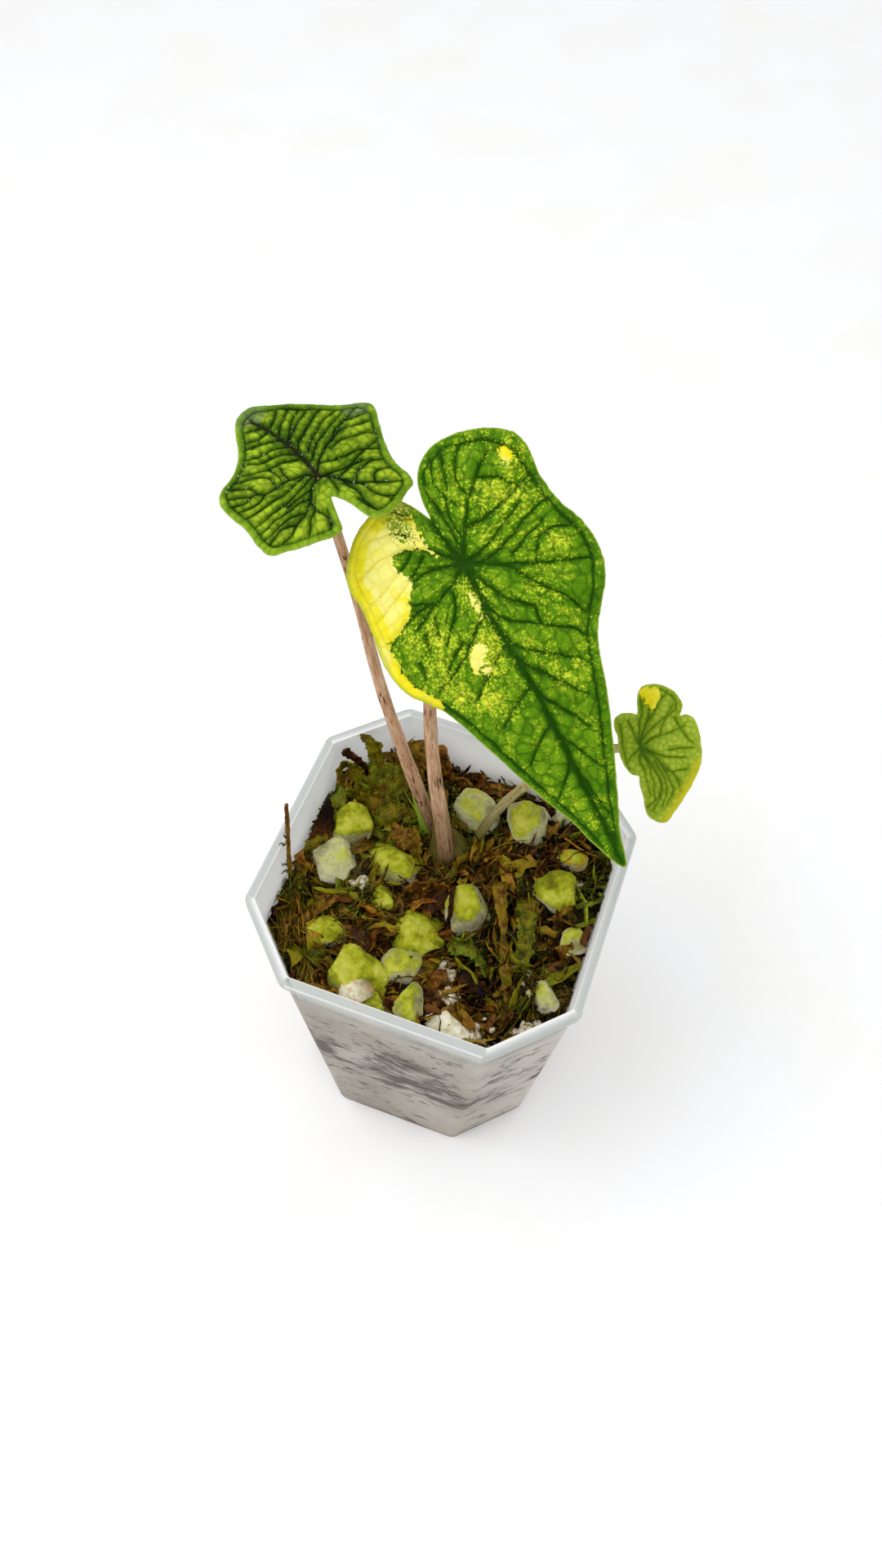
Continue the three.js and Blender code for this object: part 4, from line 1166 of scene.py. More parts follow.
def dark_lines(tree, look, measure):
    """How strongly a traced vein or the fine net between them shows."""
    line, net = [
        add(tree, "MapRange", {"Value": measure[key], "From Min": start, "From Max": full, "To Max": most})
        for key, start, full, most in (
            ("vein", look["vein_spread"], 0.3, look["vein_strength"]),
            ("net", 0.34, 0.03, look["net_strength"]),
        )
    ]
    return add(tree, "Math", {0: line, 1: net}, operation="MAXIMUM")


def cream_tissue(tree, look, measure, lines, jag, broad):
    """The yellow of a patch without green, palest in its middle, with a faint net of veins."""
    middle = add(tree, "Math", {0: jag, 1: 0.8, 2: measure["rim"]}, operation="MULTIPLY_ADD")
    middle = add(tree, "MapRange", {"Value": middle, "From Min": 3.4, "From Max": 3.9, "To Max": 0.24})
    tone = add(tree, "Math", {0: broad, 1: middle}, operation="ADD")
    yellow = add(tree, "ValToRGB", {"Fac": tone}, stops=[
        (0.4, look["yellow"]), (0.58, look["lemon"]), (0.74, look["cream"]),
    ])
    faint = add(tree, "Math", {0: lines, 1: 0.6}, operation="MULTIPLY")
    return add(tree, "MixRGB", {"Fac": faint, "Color1": yellow, "Color2": look["yellow_vein"]})


def cream_share(tree, look, measure, jag, grit):
    """Where the patches are, with a ragged edge, and with green specks where the leaf has them."""
    edge = add(tree, "Math", {0: measure["cream"], 1: jag}, operation="ADD")
    share = add(tree, "MapRange", {"Value": edge, "From Min": -0.06, "From Max": 0.06})
    if not look["speckled"]:
        return share
    sown = add(tree, "MapRange", {
        "Value": measure["speckle"], "From Min": -1.5, "From Max": 1.5, "To Min": -0.2, "To Max": 0.06,
    })
    specks = add(tree, "Math", {0: grit, 1: sown}, operation="ADD")
    between = add(tree, "MapRange", {"Value": specks, "From Min": 0.56, "From Max": 0.52})
    return add(tree, "Math", {0: share, 1: between}, operation="MULTIPLY")


# %% [markdown]
# The whole skin lays these in coats: the green, a silvery bloom at two corners of the left leaf, the
# veins with the wet glints beside them, the cream patches, the margin and its pale hem. Noise is added to
# a patch's depth before it is cut off, which gives the ragged edge at any size of picture.

# %% Leaf skin
MEASURES = ("vein", "net", "rim", "pillow", "spine", "cream", "marble", "speckle", "bloom", "yellow_edge")


def leaf_skin(name, look):
    material, tree = new_finish(name)
    place = add(tree, "TexCoord", out="Object")
    fan = add(tree, "Attribute", attribute_name="fan", out="Vector")
    measure = {key: add(tree, "Attribute", attribute_name=key, out="Fac") for key in MEASURES}
    fine, streak, broad, grit = noises = [
        add(tree, "TexNoise", {"Vector": at, "Scale": per_mm(size), "Detail": detail, "Roughness": rough})
        for at, size, detail, rough in (
            (place, 0.8, 4.0, 0.65), (fan, 0.9, 4.0, 0.5), (place, 6, 3.0, 0.5), (place, 0.5, 3.0, 0.6),
        )
    ]
    colour = green_tissue(tree, look, measure, noises)
    lines = dark_lines(tree, look, measure)
    jag = add(tree, "Math", {0: fine, 1: 2.4, 2: -1.2}, operation="MULTIPLY_ADD")
    if look["bloom"]:
        misted = add(tree, "Math", {0: measure["bloom"], 1: jag}, operation="ADD")
        colour = coat(tree, colour, look["bloom"], misted, -0.08, 0.08, 0.75)
    colour = add(tree, "MixRGB", {"Fac": lines, "Color1": colour, "Color2": look["vein"]})
    if look["glint"]:
        beside = add(tree, "MapRange", {"Value": measure["vein"], "From Min": 3.2, "From Max": 1.6})
        bright = add(tree, "Math", {0: beside, 1: 0.16, 2: grit}, operation="MULTIPLY_ADD")
        colour = coat(tree, colour, look["glint"], bright, 0.81, 0.84, 0.8)
    if look["spine"]:
        colour = coat(tree, colour, look["spine"], measure["spine"], 0.9, 0.4, 0.75)
    yellow = cream_tissue(tree, look, measure, lines, jag, broad)
    patch = cream_share(tree, look, measure, jag, grit)
    colour = add(tree, "MixRGB", {"Fac": patch, "Color1": colour, "Color2": yellow})
    uneven = add(tree, "Math", {0: broad, 1: -1.6, 2: measure["rim"]}, operation="MULTIPLY_ADD")
    margin = look["rim_mm"]
    colour = coat(tree, colour, look["rim"], uneven, margin - 0.8, 0.5 * margin - 0.8, look["rim_strength"])
    if look["yellow_edge"]:
        colour = coat(tree, colour, look["yellow_edge"], measure["yellow_edge"], -1.0, 0.8, 0.9)
    colour = coat(tree, colour, look["hem"], measure["rim"], 0.26, 0.12, 0.7)
    relief = add(tree, "Bump", {"Height": fine, "Strength": 0.5, "Distance": 0.2 * MM})
    gloss = add(tree, "MapRange", {"Value": fine, "To Min": 0.34, "To Max": 0.6})
    skin = add(tree, "BsdfPrincipled", {
        "Base Color": colour, "Roughness": gloss, "IOR": 1.42, "Specular IOR Level": 0.06, "Normal": relief,
    })
    add(tree, "OutputMaterial", {"Surface": skin})
    return material


print("Measures that a leaf skin reads:", len(MEASURES))

# %% [markdown]
# What sets the three leaves apart is a list of settings: the colours of the tissue, how much each layer
# counts, and how wide the veins and the margin show. The big leaf is flecked and patched, the left one
# has near-black veins in smooth fields and a silvery bloom, and the right one is young and lime green.

# %% Looks of the three leaves
BIG_LOOK = {
    "deep": "#265004", "mid": "#548409", "light": "#98BA22", "base": -0.5, "pillow": 0.3, "mottle": 0.5,
    "streak": 0.6, "cloud": 0.5, "spine_shade": 0.26, "rim_shade": 0.08, "halo": 0.26, "halo_spread": 3.4,
    "fleck": "#ECE842", "fleck_mid": "#B9CA2C", "fleck_dull": "#86A818", "fleck_near": 0.1,
    "fleck_far": -0.03, "speckled": True, "yellow": "#F2E31A", "lemon": "#F4EA3C", "cream": "#FBF385",
    "yellow_vein": "#D3C320", "vein": "#1C4403", "vein_spread": 1.55, "vein_strength": 0.84,
    "net_strength": 0.5, "rim": "#4C8410", "rim_mm": 1.0, "rim_strength": 0.3, "hem": "#B6C84A",
    "bloom": None, "yellow_edge": None, "glint": None, "spine": None,
}
LEFT_LOOK = {
    **BIG_LOOK, "deep": "#234504", "mid": "#5E8010", "light": "#A8C428", "base": -0.54, "pillow": 0.42,
    "mottle": 0.25, "streak": 1.1, "cloud": 0.9, "spine_shade": 0.2, "rim_shade": 0.0, "halo": 0.42,
    "halo_spread": 4.6, "fleck": "#B4C23C", "fleck_mid": "#A0B42C", "fleck_dull": "#86A028",
    "fleck_near": -0.1, "fleck_far": -0.1, "speckled": False, "vein": "#0B1C03", "vein_spread": 1.75,
    "vein_strength": 1.0, "net_strength": 0.42, "rim": "#6E9C20", "rim_mm": 1.4, "rim_strength": 0.4,
    "hem": "#A9C254", "bloom": "#6E8450", "glint": "#DCEBB4", "spine": "#2A1D0C",
}
RIGHT_LOOK = {
    **BIG_LOOK, "deep": "#587A12", "mid": "#8EAB22", "light": "#C2D44A", "base": -0.24, "pillow": 0.36,
    "mottle": 0.3, "spine_shade": 0.15, "rim_shade": 0.0, "halo": 0.2, "fleck": "#C3C842",
    "fleck_mid": "#B0BC38", "fleck_dull": "#9BAC2E", "fleck_near": -0.1, "fleck_far": -0.1,
    "speckled": False, "vein": "#3A580A", "vein_strength": 0.7, "net_strength": 0.3, "rim": "#8FAA34",
    "rim_mm": 0.4, "rim_strength": 0.5, "hem": "#C6CE5A", "yellow_edge": "#CFC41C",
}
print("Settings of a leaf skin:", len(BIG_LOOK))

# %% [markdown]
# The lower face of a leaf has hardly any wax, and the tissue under it is spongy and full of air. That
# makes it paler and matt, without glints. The faces that look away from the blade's front get this second
# material: soft clouds of grey green, with the raised veins and the cream patches showing through.

# %% Leaf underside


def leaf_underside(name, pale, dull):
    material, tree = new_finish(name)
    place = add(tree, "TexCoord", out="Object")
    cloud = add(tree, "TexNoise", {"Vector": place, "Scale": per_mm(3), "Detail": 4.0})
    colour = add(tree, "ValToRGB", {"Fac": cloud}, stops=[(0.35, dull), (0.65, pale)])
    for key, over, start, full, most in (
        ("vein", "#A9B873", 1.5, 0.5, 0.6), ("cream", "#E5E07A", -0.3, 0.3, 1.0),
    ):
        measure = add(tree, "Attribute", attribute_name=key, out="Fac")
        colour = coat(tree, colour, over, measure, start, full, most)
    skin = add(tree, "BsdfPrincipled", {
        "Base Color": colour, "Roughness": 0.6, "IOR": 1.42, "Specular IOR Level": 0.3,
    })
    add(tree, "OutputMaterial", {"Surface": skin})
    return material


for blade, leaf, node, look, pale, dull in (
    (big_blade, BIG_LEAF, "leaf_centre", BIG_LOOK, "#86A04A", "#6E8C38"),
    (left_blade, LEFT_LEAF, "leaf_left", LEFT_LOOK, "#8CA352", "#74903C"),
    (right_blade, RIGHT_LEAF, "leaf_right", RIGHT_LOOK, "#9CAF4A", "#86A03C"),
):
    blade.data.materials.append(leaf_skin(node + "_upper_skin", look))
    blade.data.materials.append(leaf_underside(node + "_lower_skin", pale, dull))
    facing = Vector(leaf["facing"])
    for face in blade.data.polygons:
        face.material_index = int(face.normal.dot(facing) < 0)
    hand_over(blade, node)

# %% [markdown]
# ## Rods bent along paths
# Stalks, twigs, moss and the crown are all long round or flattened things. Each starts as a sphere whose
# rings are pulled out along a smooth path, so both ends close by themselves. The path's frame is carried
# along without twisting. A shape function may make ribs or ragged edges on the way.

# %% Bending a rod
PATH_SAMPLES = 200
GRAIN_SQUEEZE = 0.15


def carry_frames(path):
    """A sideways and an upward direction for each point of a path, turned as little as possible."""
    ahead = np.gradient(path, axis=0)
    ahead /= np.linalg.norm(ahead, axis=1)[:, None]
    start = np.cross(ahead[0], [0, 0, 1] if abs(ahead[0][2]) < 0.9 else [0, 1, 0])
    side = [start / np.linalg.norm(start)]
    for direction in ahead[1:]:
        turned = side[-1] - direction * (side[-1] @ direction)
        side.append(turned / np.linalg.norm(turned))
    side = np.array(side)
    return side, np.cross(ahead, side)


def bend_rod(name, points, radii, sides=12, steps=40, flat=1.0, cup=0.0, turn=0.0, twist=0.0, shape=None):
    """A closed rod along the points. shape gives a factor on the radius from length share and angle.

    flat presses it, cup bends its sides up, turn and twist turn it about its own path."""
    deselect_all()
    bpy.ops.mesh.primitive_uv_sphere_add(segments=sides, ring_count=steps, radius=1)
    rod = bpy.context.object
    rod.name = name
    ball = corners(rod)
    share = 1 - np.arccos(np.clip(ball[:, 2], -1, 1)) / math.pi
    angle = np.arctan2(ball[:, 1], ball[:, 0])
    path = smooth_path(points, PATH_SAMPLES)
    length = path_length(path)
    where = share * (PATH_SAMPLES - 1)
    index = np.arange(PATH_SAMPLES)
    centre, side, up = [
        np.column_stack([np.interp(where, index, column) for column in field.T])
        for field in (path, *carry_frames(path))
    ]
    radius = np.interp(share, np.linspace(0, 1, len(radii)), radii)
    to_end = np.minimum(share, 1 - share) * length / np.maximum(radius, 0.05)
    radius = radius * np.sqrt(np.clip(1 - (1 - np.minimum(to_end, 1)) ** 2, 0, 1))
    if shape is not None:
        radius = radius * shape(share, angle)
    wide = radius * np.cos(angle)
    thin = radius * np.sin(angle) * flat + cup * wide ** 2 / max(radii)
    cos, sin = np.cos(turn + twist * share), np.sin(turn + twist * share)
    offset = (wide * cos - thin * sin)[:, None] * side + (wide * sin + thin * cos)[:, None] * up
    move_corners(rod, centre + offset)
    along = np.column_stack([wide, radius * np.sin(angle), GRAIN_SQUEEZE * share * length])
    # edge marks a rod's flat sides, which the moss finish paints as highlights.
    write_attribute(rod, "edge", np.abs(np.cos(angle)) ** 6)
    write_attribute(rod, "grain", along * MM)
    return rod

# %% [markdown]
# ## Leaf stalks
# An alocasia's stalk is round and fleshy, with fine ridges along it. It is thick where it leaves the
# crown and slim under the blade, which it enters from below at the notch. A tube of even width would look
# like a pipe, so the radius follows a few measured values and wavers a little.

# %% Shape of the stalks
RIDGES = 13
RIDGE_DEPTH = 0.035
STALKS = {
    "petiole_left": {
        "points": [[-3.4, 12.9, 66], [-6.6, 14.2, 82], [-11.1, 15.2, 95], [-17.7, 17.2, 114],
                   [-23.1, 19.1, 131.3], [-28.9, 21.8, 154.5], [-33.2, 23.6, 169], [-36.8, 25.0, 179.7]],
        "radii": [1.85, 1.7, 1.5, 1.25, 1.05, 0.9],
    },
    "petiole_centre": {
        "points": [[-0.2, 4.6, 66], [-1.4, 6.8, 82], [-5.3, 11.7, 97.3], [-8.6, 15.2, 110.2],
                   [-11.6, 19.4, 129.4], [-11.9, 22.6, 144], [-10.1, 25.2, 158], [-7.0, 23.5, 169.7]],
        "radii": [2.3, 2.05, 1.65, 1.4, 1.2, 1.0],
    },
    "petiole_right": {
        "points": [[0.8, 13.2, 68], [2.6, 15.5, 82.8], [6.0, 19.4, 94], [12.3, 22.8, 105.5],
                   [23.9, 25.6, 120.5], [34.2, 24.5, 129.7]],
        "radii": [1.3, 1.2, 1.15, 1.05, 0.9],
    },
}


def ridged(share, angle):
    fade = np.clip(share * 6, 0, 1)
    uneven = 1 + 0.03 * np.sin(23 * share) + 0.02 * np.sin(57 * share + 2)
    return uneven + RIDGE_DEPTH * fade * np.cos(RIDGES * angle)


print("Stalk lengths in mm:", [round(path_length(layout["points"])) for layout in STALKS.values()])

# %% [markdown]
# The skin of a stalk, or petiole, is living green tissue under a thin wax, flushed pink by a pigment. The
# cells grow in rows along the stalk, so its colour runs in long streaks, and short dark dashes lie
# between the ridges. Both patterns are read from the grain attribute, which is squeezed along the rod.
# The real rows of cells are a tenth of a millimetre wide, and the streaks are drawn several times
# coarser, so that they show. The foot, down in the wet mix, is stained brown.

# %% Petiole skin
STAIN_FADES = (105, 85)


def petiole_skin(name, pale, mid, dark, dash, foot):
    material, tree = new_finish(name)
    along = add(tree, "Attribute", attribute_name="grain", out="Vector")
    place = add(tree, "TexCoord", out="Object")
    streak = add(tree, "TexNoise", {"Vector": along, "Scale": per_mm(0.9), "Detail": 5.0, "Roughness": 0.7})
    colour = add(tree, "ValToRGB", {"Fac": streak}, stops=[(0.3, dark), (0.5, mid), (0.68, pale)])
    short = add(tree, "TexNoise", {"Vector": along, "Scale": per_mm(0.36), "Detail": 2.0})
    gate = add(tree, "TexNoise", {"Vector": place, "Scale": per_mm(4), "Detail": 2.0})
    both = add(tree, "Math", {0: gate, 1: 0.6, 2: short}, operation="MULTIPLY_ADD")
    colour = coat(tree, colour, dash, both, 0.96, 0.99, 0.9)
    height = add(tree, "SeparateXYZ", {"Vector": place}, out="Z")
    colour = coat(tree, colour, foot, height, STAIN_FADES[0] * MM, STAIN_FADES[1] * MM, 0.95)
    relief = add(tree, "Bump", {"Height": streak, "Strength": 0.6, "Distance": 0.2 * MM})
    skin = add(tree, "BsdfPrincipled", {
        "Base Color": colour, "Roughness": 0.5, "IOR": 1.42, "Normal": relief, "Specular IOR Level": 0.2,
    })
    add(tree, "OutputMaterial", {"Surface": skin})
    return material


pink = petiole_skin("pink_beige_petiole_skin", "#E2C2A4", "#C79D7A", "#986C4A", "#3F1C0A", "#5A4422")
green = petiole_skin("green_beige_petiole_skin", "#D8CEA2", "#B8A972", "#8C7C4A", "#4A3418", "#66601E")
for node, layout in STALKS.items():
    stalk = bend_rod(node + "_ribbed", layout["points"], layout["radii"], sides=52, steps=150, shape=ridged)
    tidy_surface(stalk)
    hand_over(stalk, node, material=green if node == "petiole_right" else pink)

# %% [markdown]
# ## Growing mix
# Damp sphagnum moss, bark, pumice and a little white grit fill the pot to a finger's width below the lip.
# The moss is hundreds of crinkled ribbons, torn leaves and scaly shoots. A few small models are made
# once, and copies of them are turned, sized and laid over the bed by seeded random numbers. Each spot of
# the bed has its own colour and direction, read off the real one. Nothing may leave the pot, so every
# corner that would pass through the wall is set back against it.

# %% Bed height and the wall
WALL_GAP = 0.35
MIX_HEIGHT = 82


def mix_height(x, y):
    waves = (
        1.3 * np.sin(0.21 * x + 1.3) * np.cos(0.18 * y - 0.4) + 0.8 * np.sin(0.47 * x - 0.31 * y + 2)
        + 0.4 * np.cos(0.83 * x + 0.67 * y)
    )
    dip_at_back = 3.6 * np.clip((y - 24) / 8, 0, 1) * np.clip((x + 12) / 6, 0, 1)
    return MIX_HEIGHT + waves - dip_at_back


def keep_inside_pot(places, gap=WALL_GAP):
    """Sets corners that would pass through the pot's wall back against it."""
    moved = places.copy()
    across, flat = pot_section(np.clip(moved[:, 2], 0, POT_HEIGHT), WALL + gap)
    diagonal = (across + flat) / math.sqrt(2)
    for eighth in range(8):
        cos, sin = math.cos(eighth * math.pi / 4), math.sin(eighth * math.pi / 4)
        beyond = moved[:, 0] * cos + moved[:, 1] * sin - (diagonal if eighth % 2 else across)
        push = np.maximum(beyond, 0)
        moved[:, 0] -= push * cos
        moved[:, 1] -= push * sin
    return moved


print("Height of the mix at the middle of the pot:", mix_height(0, 0).round(1))

# %% [markdown]
# The bed is the dark body of the mix: its near-black top is partly half-rotted moss and partly painted
# shade of the deep gaps between the pieces laid on it. A sheet is cut to the pot's inside, crumpled, and
# extruded down to the pot's floor. Its sides are paler, which is painted light, the light that comes
# through the frosted wall. They are told from the top by their height.

# %% Bed
BED_CELL = 0.8
BED_DROP = 1.6
SIDE_TINT = 0.56
TOP_TINT = 0.1
FLOOR_GAP = 0.3
BED_PULL = 60
SIDES_BELOW = 60

across, flat = pot_section(80, WALL + WALL_GAP)
bed_edge = np.array([
    (across, -flat), (across, flat), (flat, across), (-flat, across),
    (-across, flat), (-across, -flat), (-flat, -across), (flat, -across), (across, -flat),
])
shares = np.linspace(0, 8, 500, endpoint=False)
bed_edge = np.column_stack([np.interp(shares, range(9), column) for column in bed_edge.T])
bed = cut_sheet("bed", bed_edge, BED_CELL)
places = corners(bed)
crumple_height = 0.9 * grain(places, 2.2, 3.0) + 0.5 * grain(places, 0.9, 6.0)
places[:, 2] = mix_height(places[:, 0], places[:, 1]) - BED_DROP + crumple_height
move_corners(bed, places)
make_active(bed)
bpy.ops.object.mode_set(mode="EDIT")
bpy.ops.mesh.select_all(action="SELECT")
bpy.ops.mesh.extrude_region_move(TRANSFORM_OT_translate={"value": (0, 0, -BED_PULL)})
bpy.ops.object.mode_set(mode="OBJECT")
places = corners(bed)
bottom = places[:, 2] < SIDES_BELOW
places[bottom, 2] = POT_FLOOR + FLOOR_GAP
places[bottom, :2] *= FOOT_ACROSS / LIP_ACROSS
move_corners(bed, keep_inside_pot(places))
tidy_surface(bed, weld=0.0001)
on_wall = np.linalg.norm(keep_inside_pot(corners(bed), WALL_GAP + 0.5) - corners(bed), axis=1) > 0.1
# The sides get a paler tint as painted light from the wall; the top's dark tint is partly painted shade.
write_attribute(bed, "tint", np.where(on_wall | (corners(bed)[:, 2] < SIDES_BELOW), SIDE_TINT, TOP_TINT))
write_attribute(bed, "grain", corners(bed) * MM)
print("Bed corners:", len(bed.data.vertices))

# %% [markdown]
# ### Pumice
# Pumice is volcanic glass foam: lumps with blunt corners and a pitted skin, cream white where dry and
# lime green where algae grow on the lit side. A lump could be a sphere pushed in and out by noise, but it
# would look like dough. Each one is a sphere cut by a dozen planes, as it broke, whose meeting edges
# are softened, as it was tumbled, and only then is it roughened by noise.

# %% Chipping a lump
FACETS = 13
FACET_SHARPNESS = 32


def chip_lump(name, size, seed, subdivisions, pit=0.035):
    """A blunt-cornered lump of the given length, width and height round the origin."""
    random = np.random.default_rng(seed)
    deselect_all()
    bpy.ops.mesh.primitive_ico_sphere_add(subdivisions=subdivisions, radius=1)
    lump = bpy.context.object
    lump.name = name
    out = corners(lump)
    out /= np.linalg.norm(out, axis=1)[:, None]
    facing = random.normal(size=(FACETS, 3))
    facing /= np.linalg.norm(facing, axis=1)[:, None]
    facing = np.vstack([facing, [[0, 0, 1]]])
    reach = random.uniform(0.72, 1.0, len(facing))
    cut = reach / np.maximum(out @ facing.T, 0.15)
    radius = -np.log(np.exp(-FACET_SHARPNESS * cut).sum(1)) / FACET_SHARPNESS
    rough = out * np.clip(radius, 0.5, 1.12)[:, None]
    swell = 0.06 * grain(rough, 0.6, seed) + 0.025 * grain(rough, 0.2, seed + 1)
    swell -= pit * np.clip(grain(rough, 0.08, seed + 2) * 3, 0, 1)
    rough += out * swell[:, None]
    half = np.ptp(rough, axis=0) / 2
    move_corners(lump, (rough - rough.min(0) - half) / half * np.array(size) / 2)
    return lump


def join(name, pieces):
    make_active(pieces[0])
    for piece in pieces:
        piece.select_set(True)
    if len(pieces) > 1:
        bpy.ops.object.join()
    pieces[0].name = name
    return pieces[0]


# %% [markdown]
# A row gives x, y, length, width, height, turn, rise over the bed, lime and rust. Each lump is turned, set
# down on the bed by its rise, and kept inside the pot. How green and how rusty it is goes with it as
# attributes. The big ones get more faces, because their pits show. All are joined, since they share
# one finish.

# %% Pumice lumps
STONES = [
    (-27.2, 8.2, 11, 10.5, 11, 20, 2.6, 0.95, 0.1), (-27.0, -2.6, 11, 11, 7, 50, 1.4, 0.35, 0.1),
    (-15.6, 3.0, 17, 10.5, 8, -10, 1.8, 0.6, 0.1), (0.2, 23.6, 14, 12, 10, -15, 1.6, 0.4, 0.1),
    (13.2, 24.0, 12, 12, 10, 80, 1.8, 0.5, 0.05), (25.9, 8.6, 12, 12, 9.5, 30, 2.4, 0.9, 0.15),
    (-13, -7.2, 9.5, 7.5, 6, -25, 1.6, 0.8, 0.05), (-3.0, -12.6, 16, 13.5, 10, -20, 2.0, 0.85, 0.1),
    (7.2, -3.0, 11.5, 13.5, 9.5, 15, 2.4, 0.6, 0.1), (-22.4, -19.8, 10.5, 9, 7, 35, 2.0, 0.65, 0.5),
    (-11.4, -27.8, 16, 13.5, 12, 15, 2.4, 0.95, 0.05), (-9.6, -32.0, 9, 7.5, 8, 10, 3.4, 0.1, 0.7),
    (-4.9, -33.8, 9, 7, 7, -30, 1.8, 0.8, 0.1), (-2.4, -21.8, 10, 9, 7, 60, 2.0, 0.5, 0.1),
    (2.5, -30.4, 7, 10.5, 7, 15, 2.0, 0.55, 0.1), (12.5, -32.4, 12.5, 8.5, 6, -10, 2.2, 0.05, 0.55),
    (33.2, -2.6, 6.5, 7.5, 5, 0, 2.4, 0.45, 0.1), (30.2, -17.6, 7, 8.5, 6, 40, 2.2, 0.4, 0.3),
    (26.6, 19, 8, 6, 5.5, 20, 2.2, 0.6, 0.75), (21, 31, 8, 7, 7, 70, 1.7, 0.3, 0.1),
    (-6.5, -26.5, 7, 6, 5, 0, 1.4, 0.1, 0.05), (-9.5, 0.4, 6, 5, 5, 40, 1.6, 0.1, 0.05),
]
BIG_LUMP = 8

lumps = []
for i, (x, y, length, width, height, turn, rise, lime, rust) in enumerate(STONES):
    lump = chip_lump(f"lump_{i}", (length, width, height), 40 + i, 5 if length > BIG_LUMP else 4)
    lump.data.transform(
        Matrix.Translation((x, y, mix_height(x, y) + rise)) @ Matrix.Rotation(math.radians(turn), 4, "Z")
    )
    move_corners(lump, keep_inside_pot(corners(lump)))
    write_attribute(lump, "lime", lime)
    write_attribute(lump, "rust", rust)
    lumps.append(lump)
pumice = join("pumice_lumps", lumps)
make_active(pumice)
bpy.ops.object.shade_smooth()
print("Pumice triangles:", len(pumice.data.polygons))

# %% [markdown]
# Pumice is glass that foamed up and froze, then was broken and tumbled to size, so its skin is all open
# pores and quite matt. The real pores are a few tenths of a millimetre, too fine to show, and are drawn
# as pits of one and a half. The finish starts from the dry stone, cream with soft grey clouds. A film of
# algae lies over it, thick on top and thinning down the sides, so the line between lime and cream is a
# smooth one. The green is lighter where the surface faces up and darker on the sides, which is painted
# light and shade. Some pits and the darkest clouds are drawn olive dark, and some lumps have a rusty
# stain.

# %% Pumice finish


def weathered_pumice():
    material, tree = new_finish("weathered_pumice")
    place = add(tree, "TexCoord", out="Object")
    lime, rust = [add(tree, "Attribute", attribute_name=key, out="Fac") for key in ("lime", "rust")]
    normal = add(tree, "NewGeometry", out="Normal")
    up = add(tree, "SeparateXYZ", {"Vector": normal}, out="Z")
    cloud = add(tree, "TexNoise", {"Vector": place, "Scale": per_mm(5), "Detail": 3.0})
    fine = add(tree, "TexNoise", {"Vector": place, "Scale": per_mm(1.4), "Detail": 5.0, "Roughness": 0.62})
    dry = add(tree, "ValToRGB", {"Fac": cloud}, stops=[
        (0.3, "#B0A680"), (0.46, "#DCD5B2"), (0.62, "#F5F1DC"),
    ])
    # Painted light: faces that look up get a lighter green, the sides a darker one.
    lit = add(tree, "MapRange", {"Value": up, "From Min": -0.25, "From Max": 0.9})
    tone = add(tree, "Math", {0: fine, 1: 0.5, 2: cloud}, operation="MULTIPLY_ADD")
    bright = add(tree, "Math", {0: lit, 1: 0.26, 2: tone}, operation="MULTIPLY_ADD")
    bright = add(tree, "MapRange", {"Value": bright, "From Min": 0.66, "From Max": 1.2})
    green = add(tree, "ValToRGB", {"Fac": bright}, stops=[
        (0.0, "#565C0A"), (0.36, "#828812"), (0.66, "#A6AA20"), (1.0, "#C2C24E"),
    ])
    film = add(tree, "Math", {0: lit, 1: lime, 2: cloud}, operation="MULTIPLY_ADD")
    colour = coat(tree, dry, green, film, 0.66, 1.0)
    patch = add(tree, "TexNoise", {"Vector": place, "Scale": per_mm(2.5), "Detail": 2.0})
    stain = add(tree, "Math", {0: patch, 1: rust}, operation="MULTIPLY")
    colour = coat(tree, colour, "#B87C22", stain, 0.3, 0.5, 0.75)
    pits = add(tree, "TexVoronoi", {"Vector": place, "Scale": per_mm(1.6)})
    # Pits and the darkest clouds are drawn olive dark.
    pit = add(tree, "MapRange", {"Value": pits, "From Min": 0.2, "From Max": 0.08, "To Max": 0.35})
    dark_clouds = add(tree, "MapRange", {"Value": tone, "From Min": 0.78, "From Max": 0.5, "To Max": 0.6})
    soiled = add(tree, "Math", {0: pit, 1: dark_clouds}, operation="MAXIMUM")
    colour = add(tree, "MixRGB", {"Fac": soiled, "Color1": colour, "Color2": "#5A560E"})
    relief = add(tree, "Bump", {"Height": fine, "Strength": 0.6, "Distance": 0.4 * MM})
    stone = add(tree, "BsdfPrincipled", {
        "Base Color": colour, "Roughness": 0.8, "Normal": relief, "Specular IOR Level": 0.12,
    })
    add(tree, "OutputMaterial", {"Surface": stone})
    return material


hand_over(pumice, "growing_mix", material=weathered_pumice())

# %% [markdown]
# ### Moss
# Ribbons, torn leaves, scaly shoots and dry fibres are the stock. A leaf or ribbon is a rod pressed flat,
# cupped across, twisted along and crumpled a little, as a thin damp leaf shrivels. A shoot is a thin stem
# with scales that overlap like roof tiles, which is how a living sphagnum branch is built. All are a few
# dozen faces, since they are copied by the hundred.

# %% Stock of leaves and fibres


def crumple(places, amount, size, seed):
    """Places pushed about by smooth random amounts, as a thin damp leaf is when it shrivels."""
    return places + amount * np.column_stack([grain(places, size, seed + 11 * axis) for axis in range(3)])


def read_stock(piece):
    """The corners and faces of a small model, which is then cleared away."""
    stock = (corners(piece), [tuple(face.vertices) for face in piece.data.polygons])
    bpy.data.objects.remove(piece)
    return stock


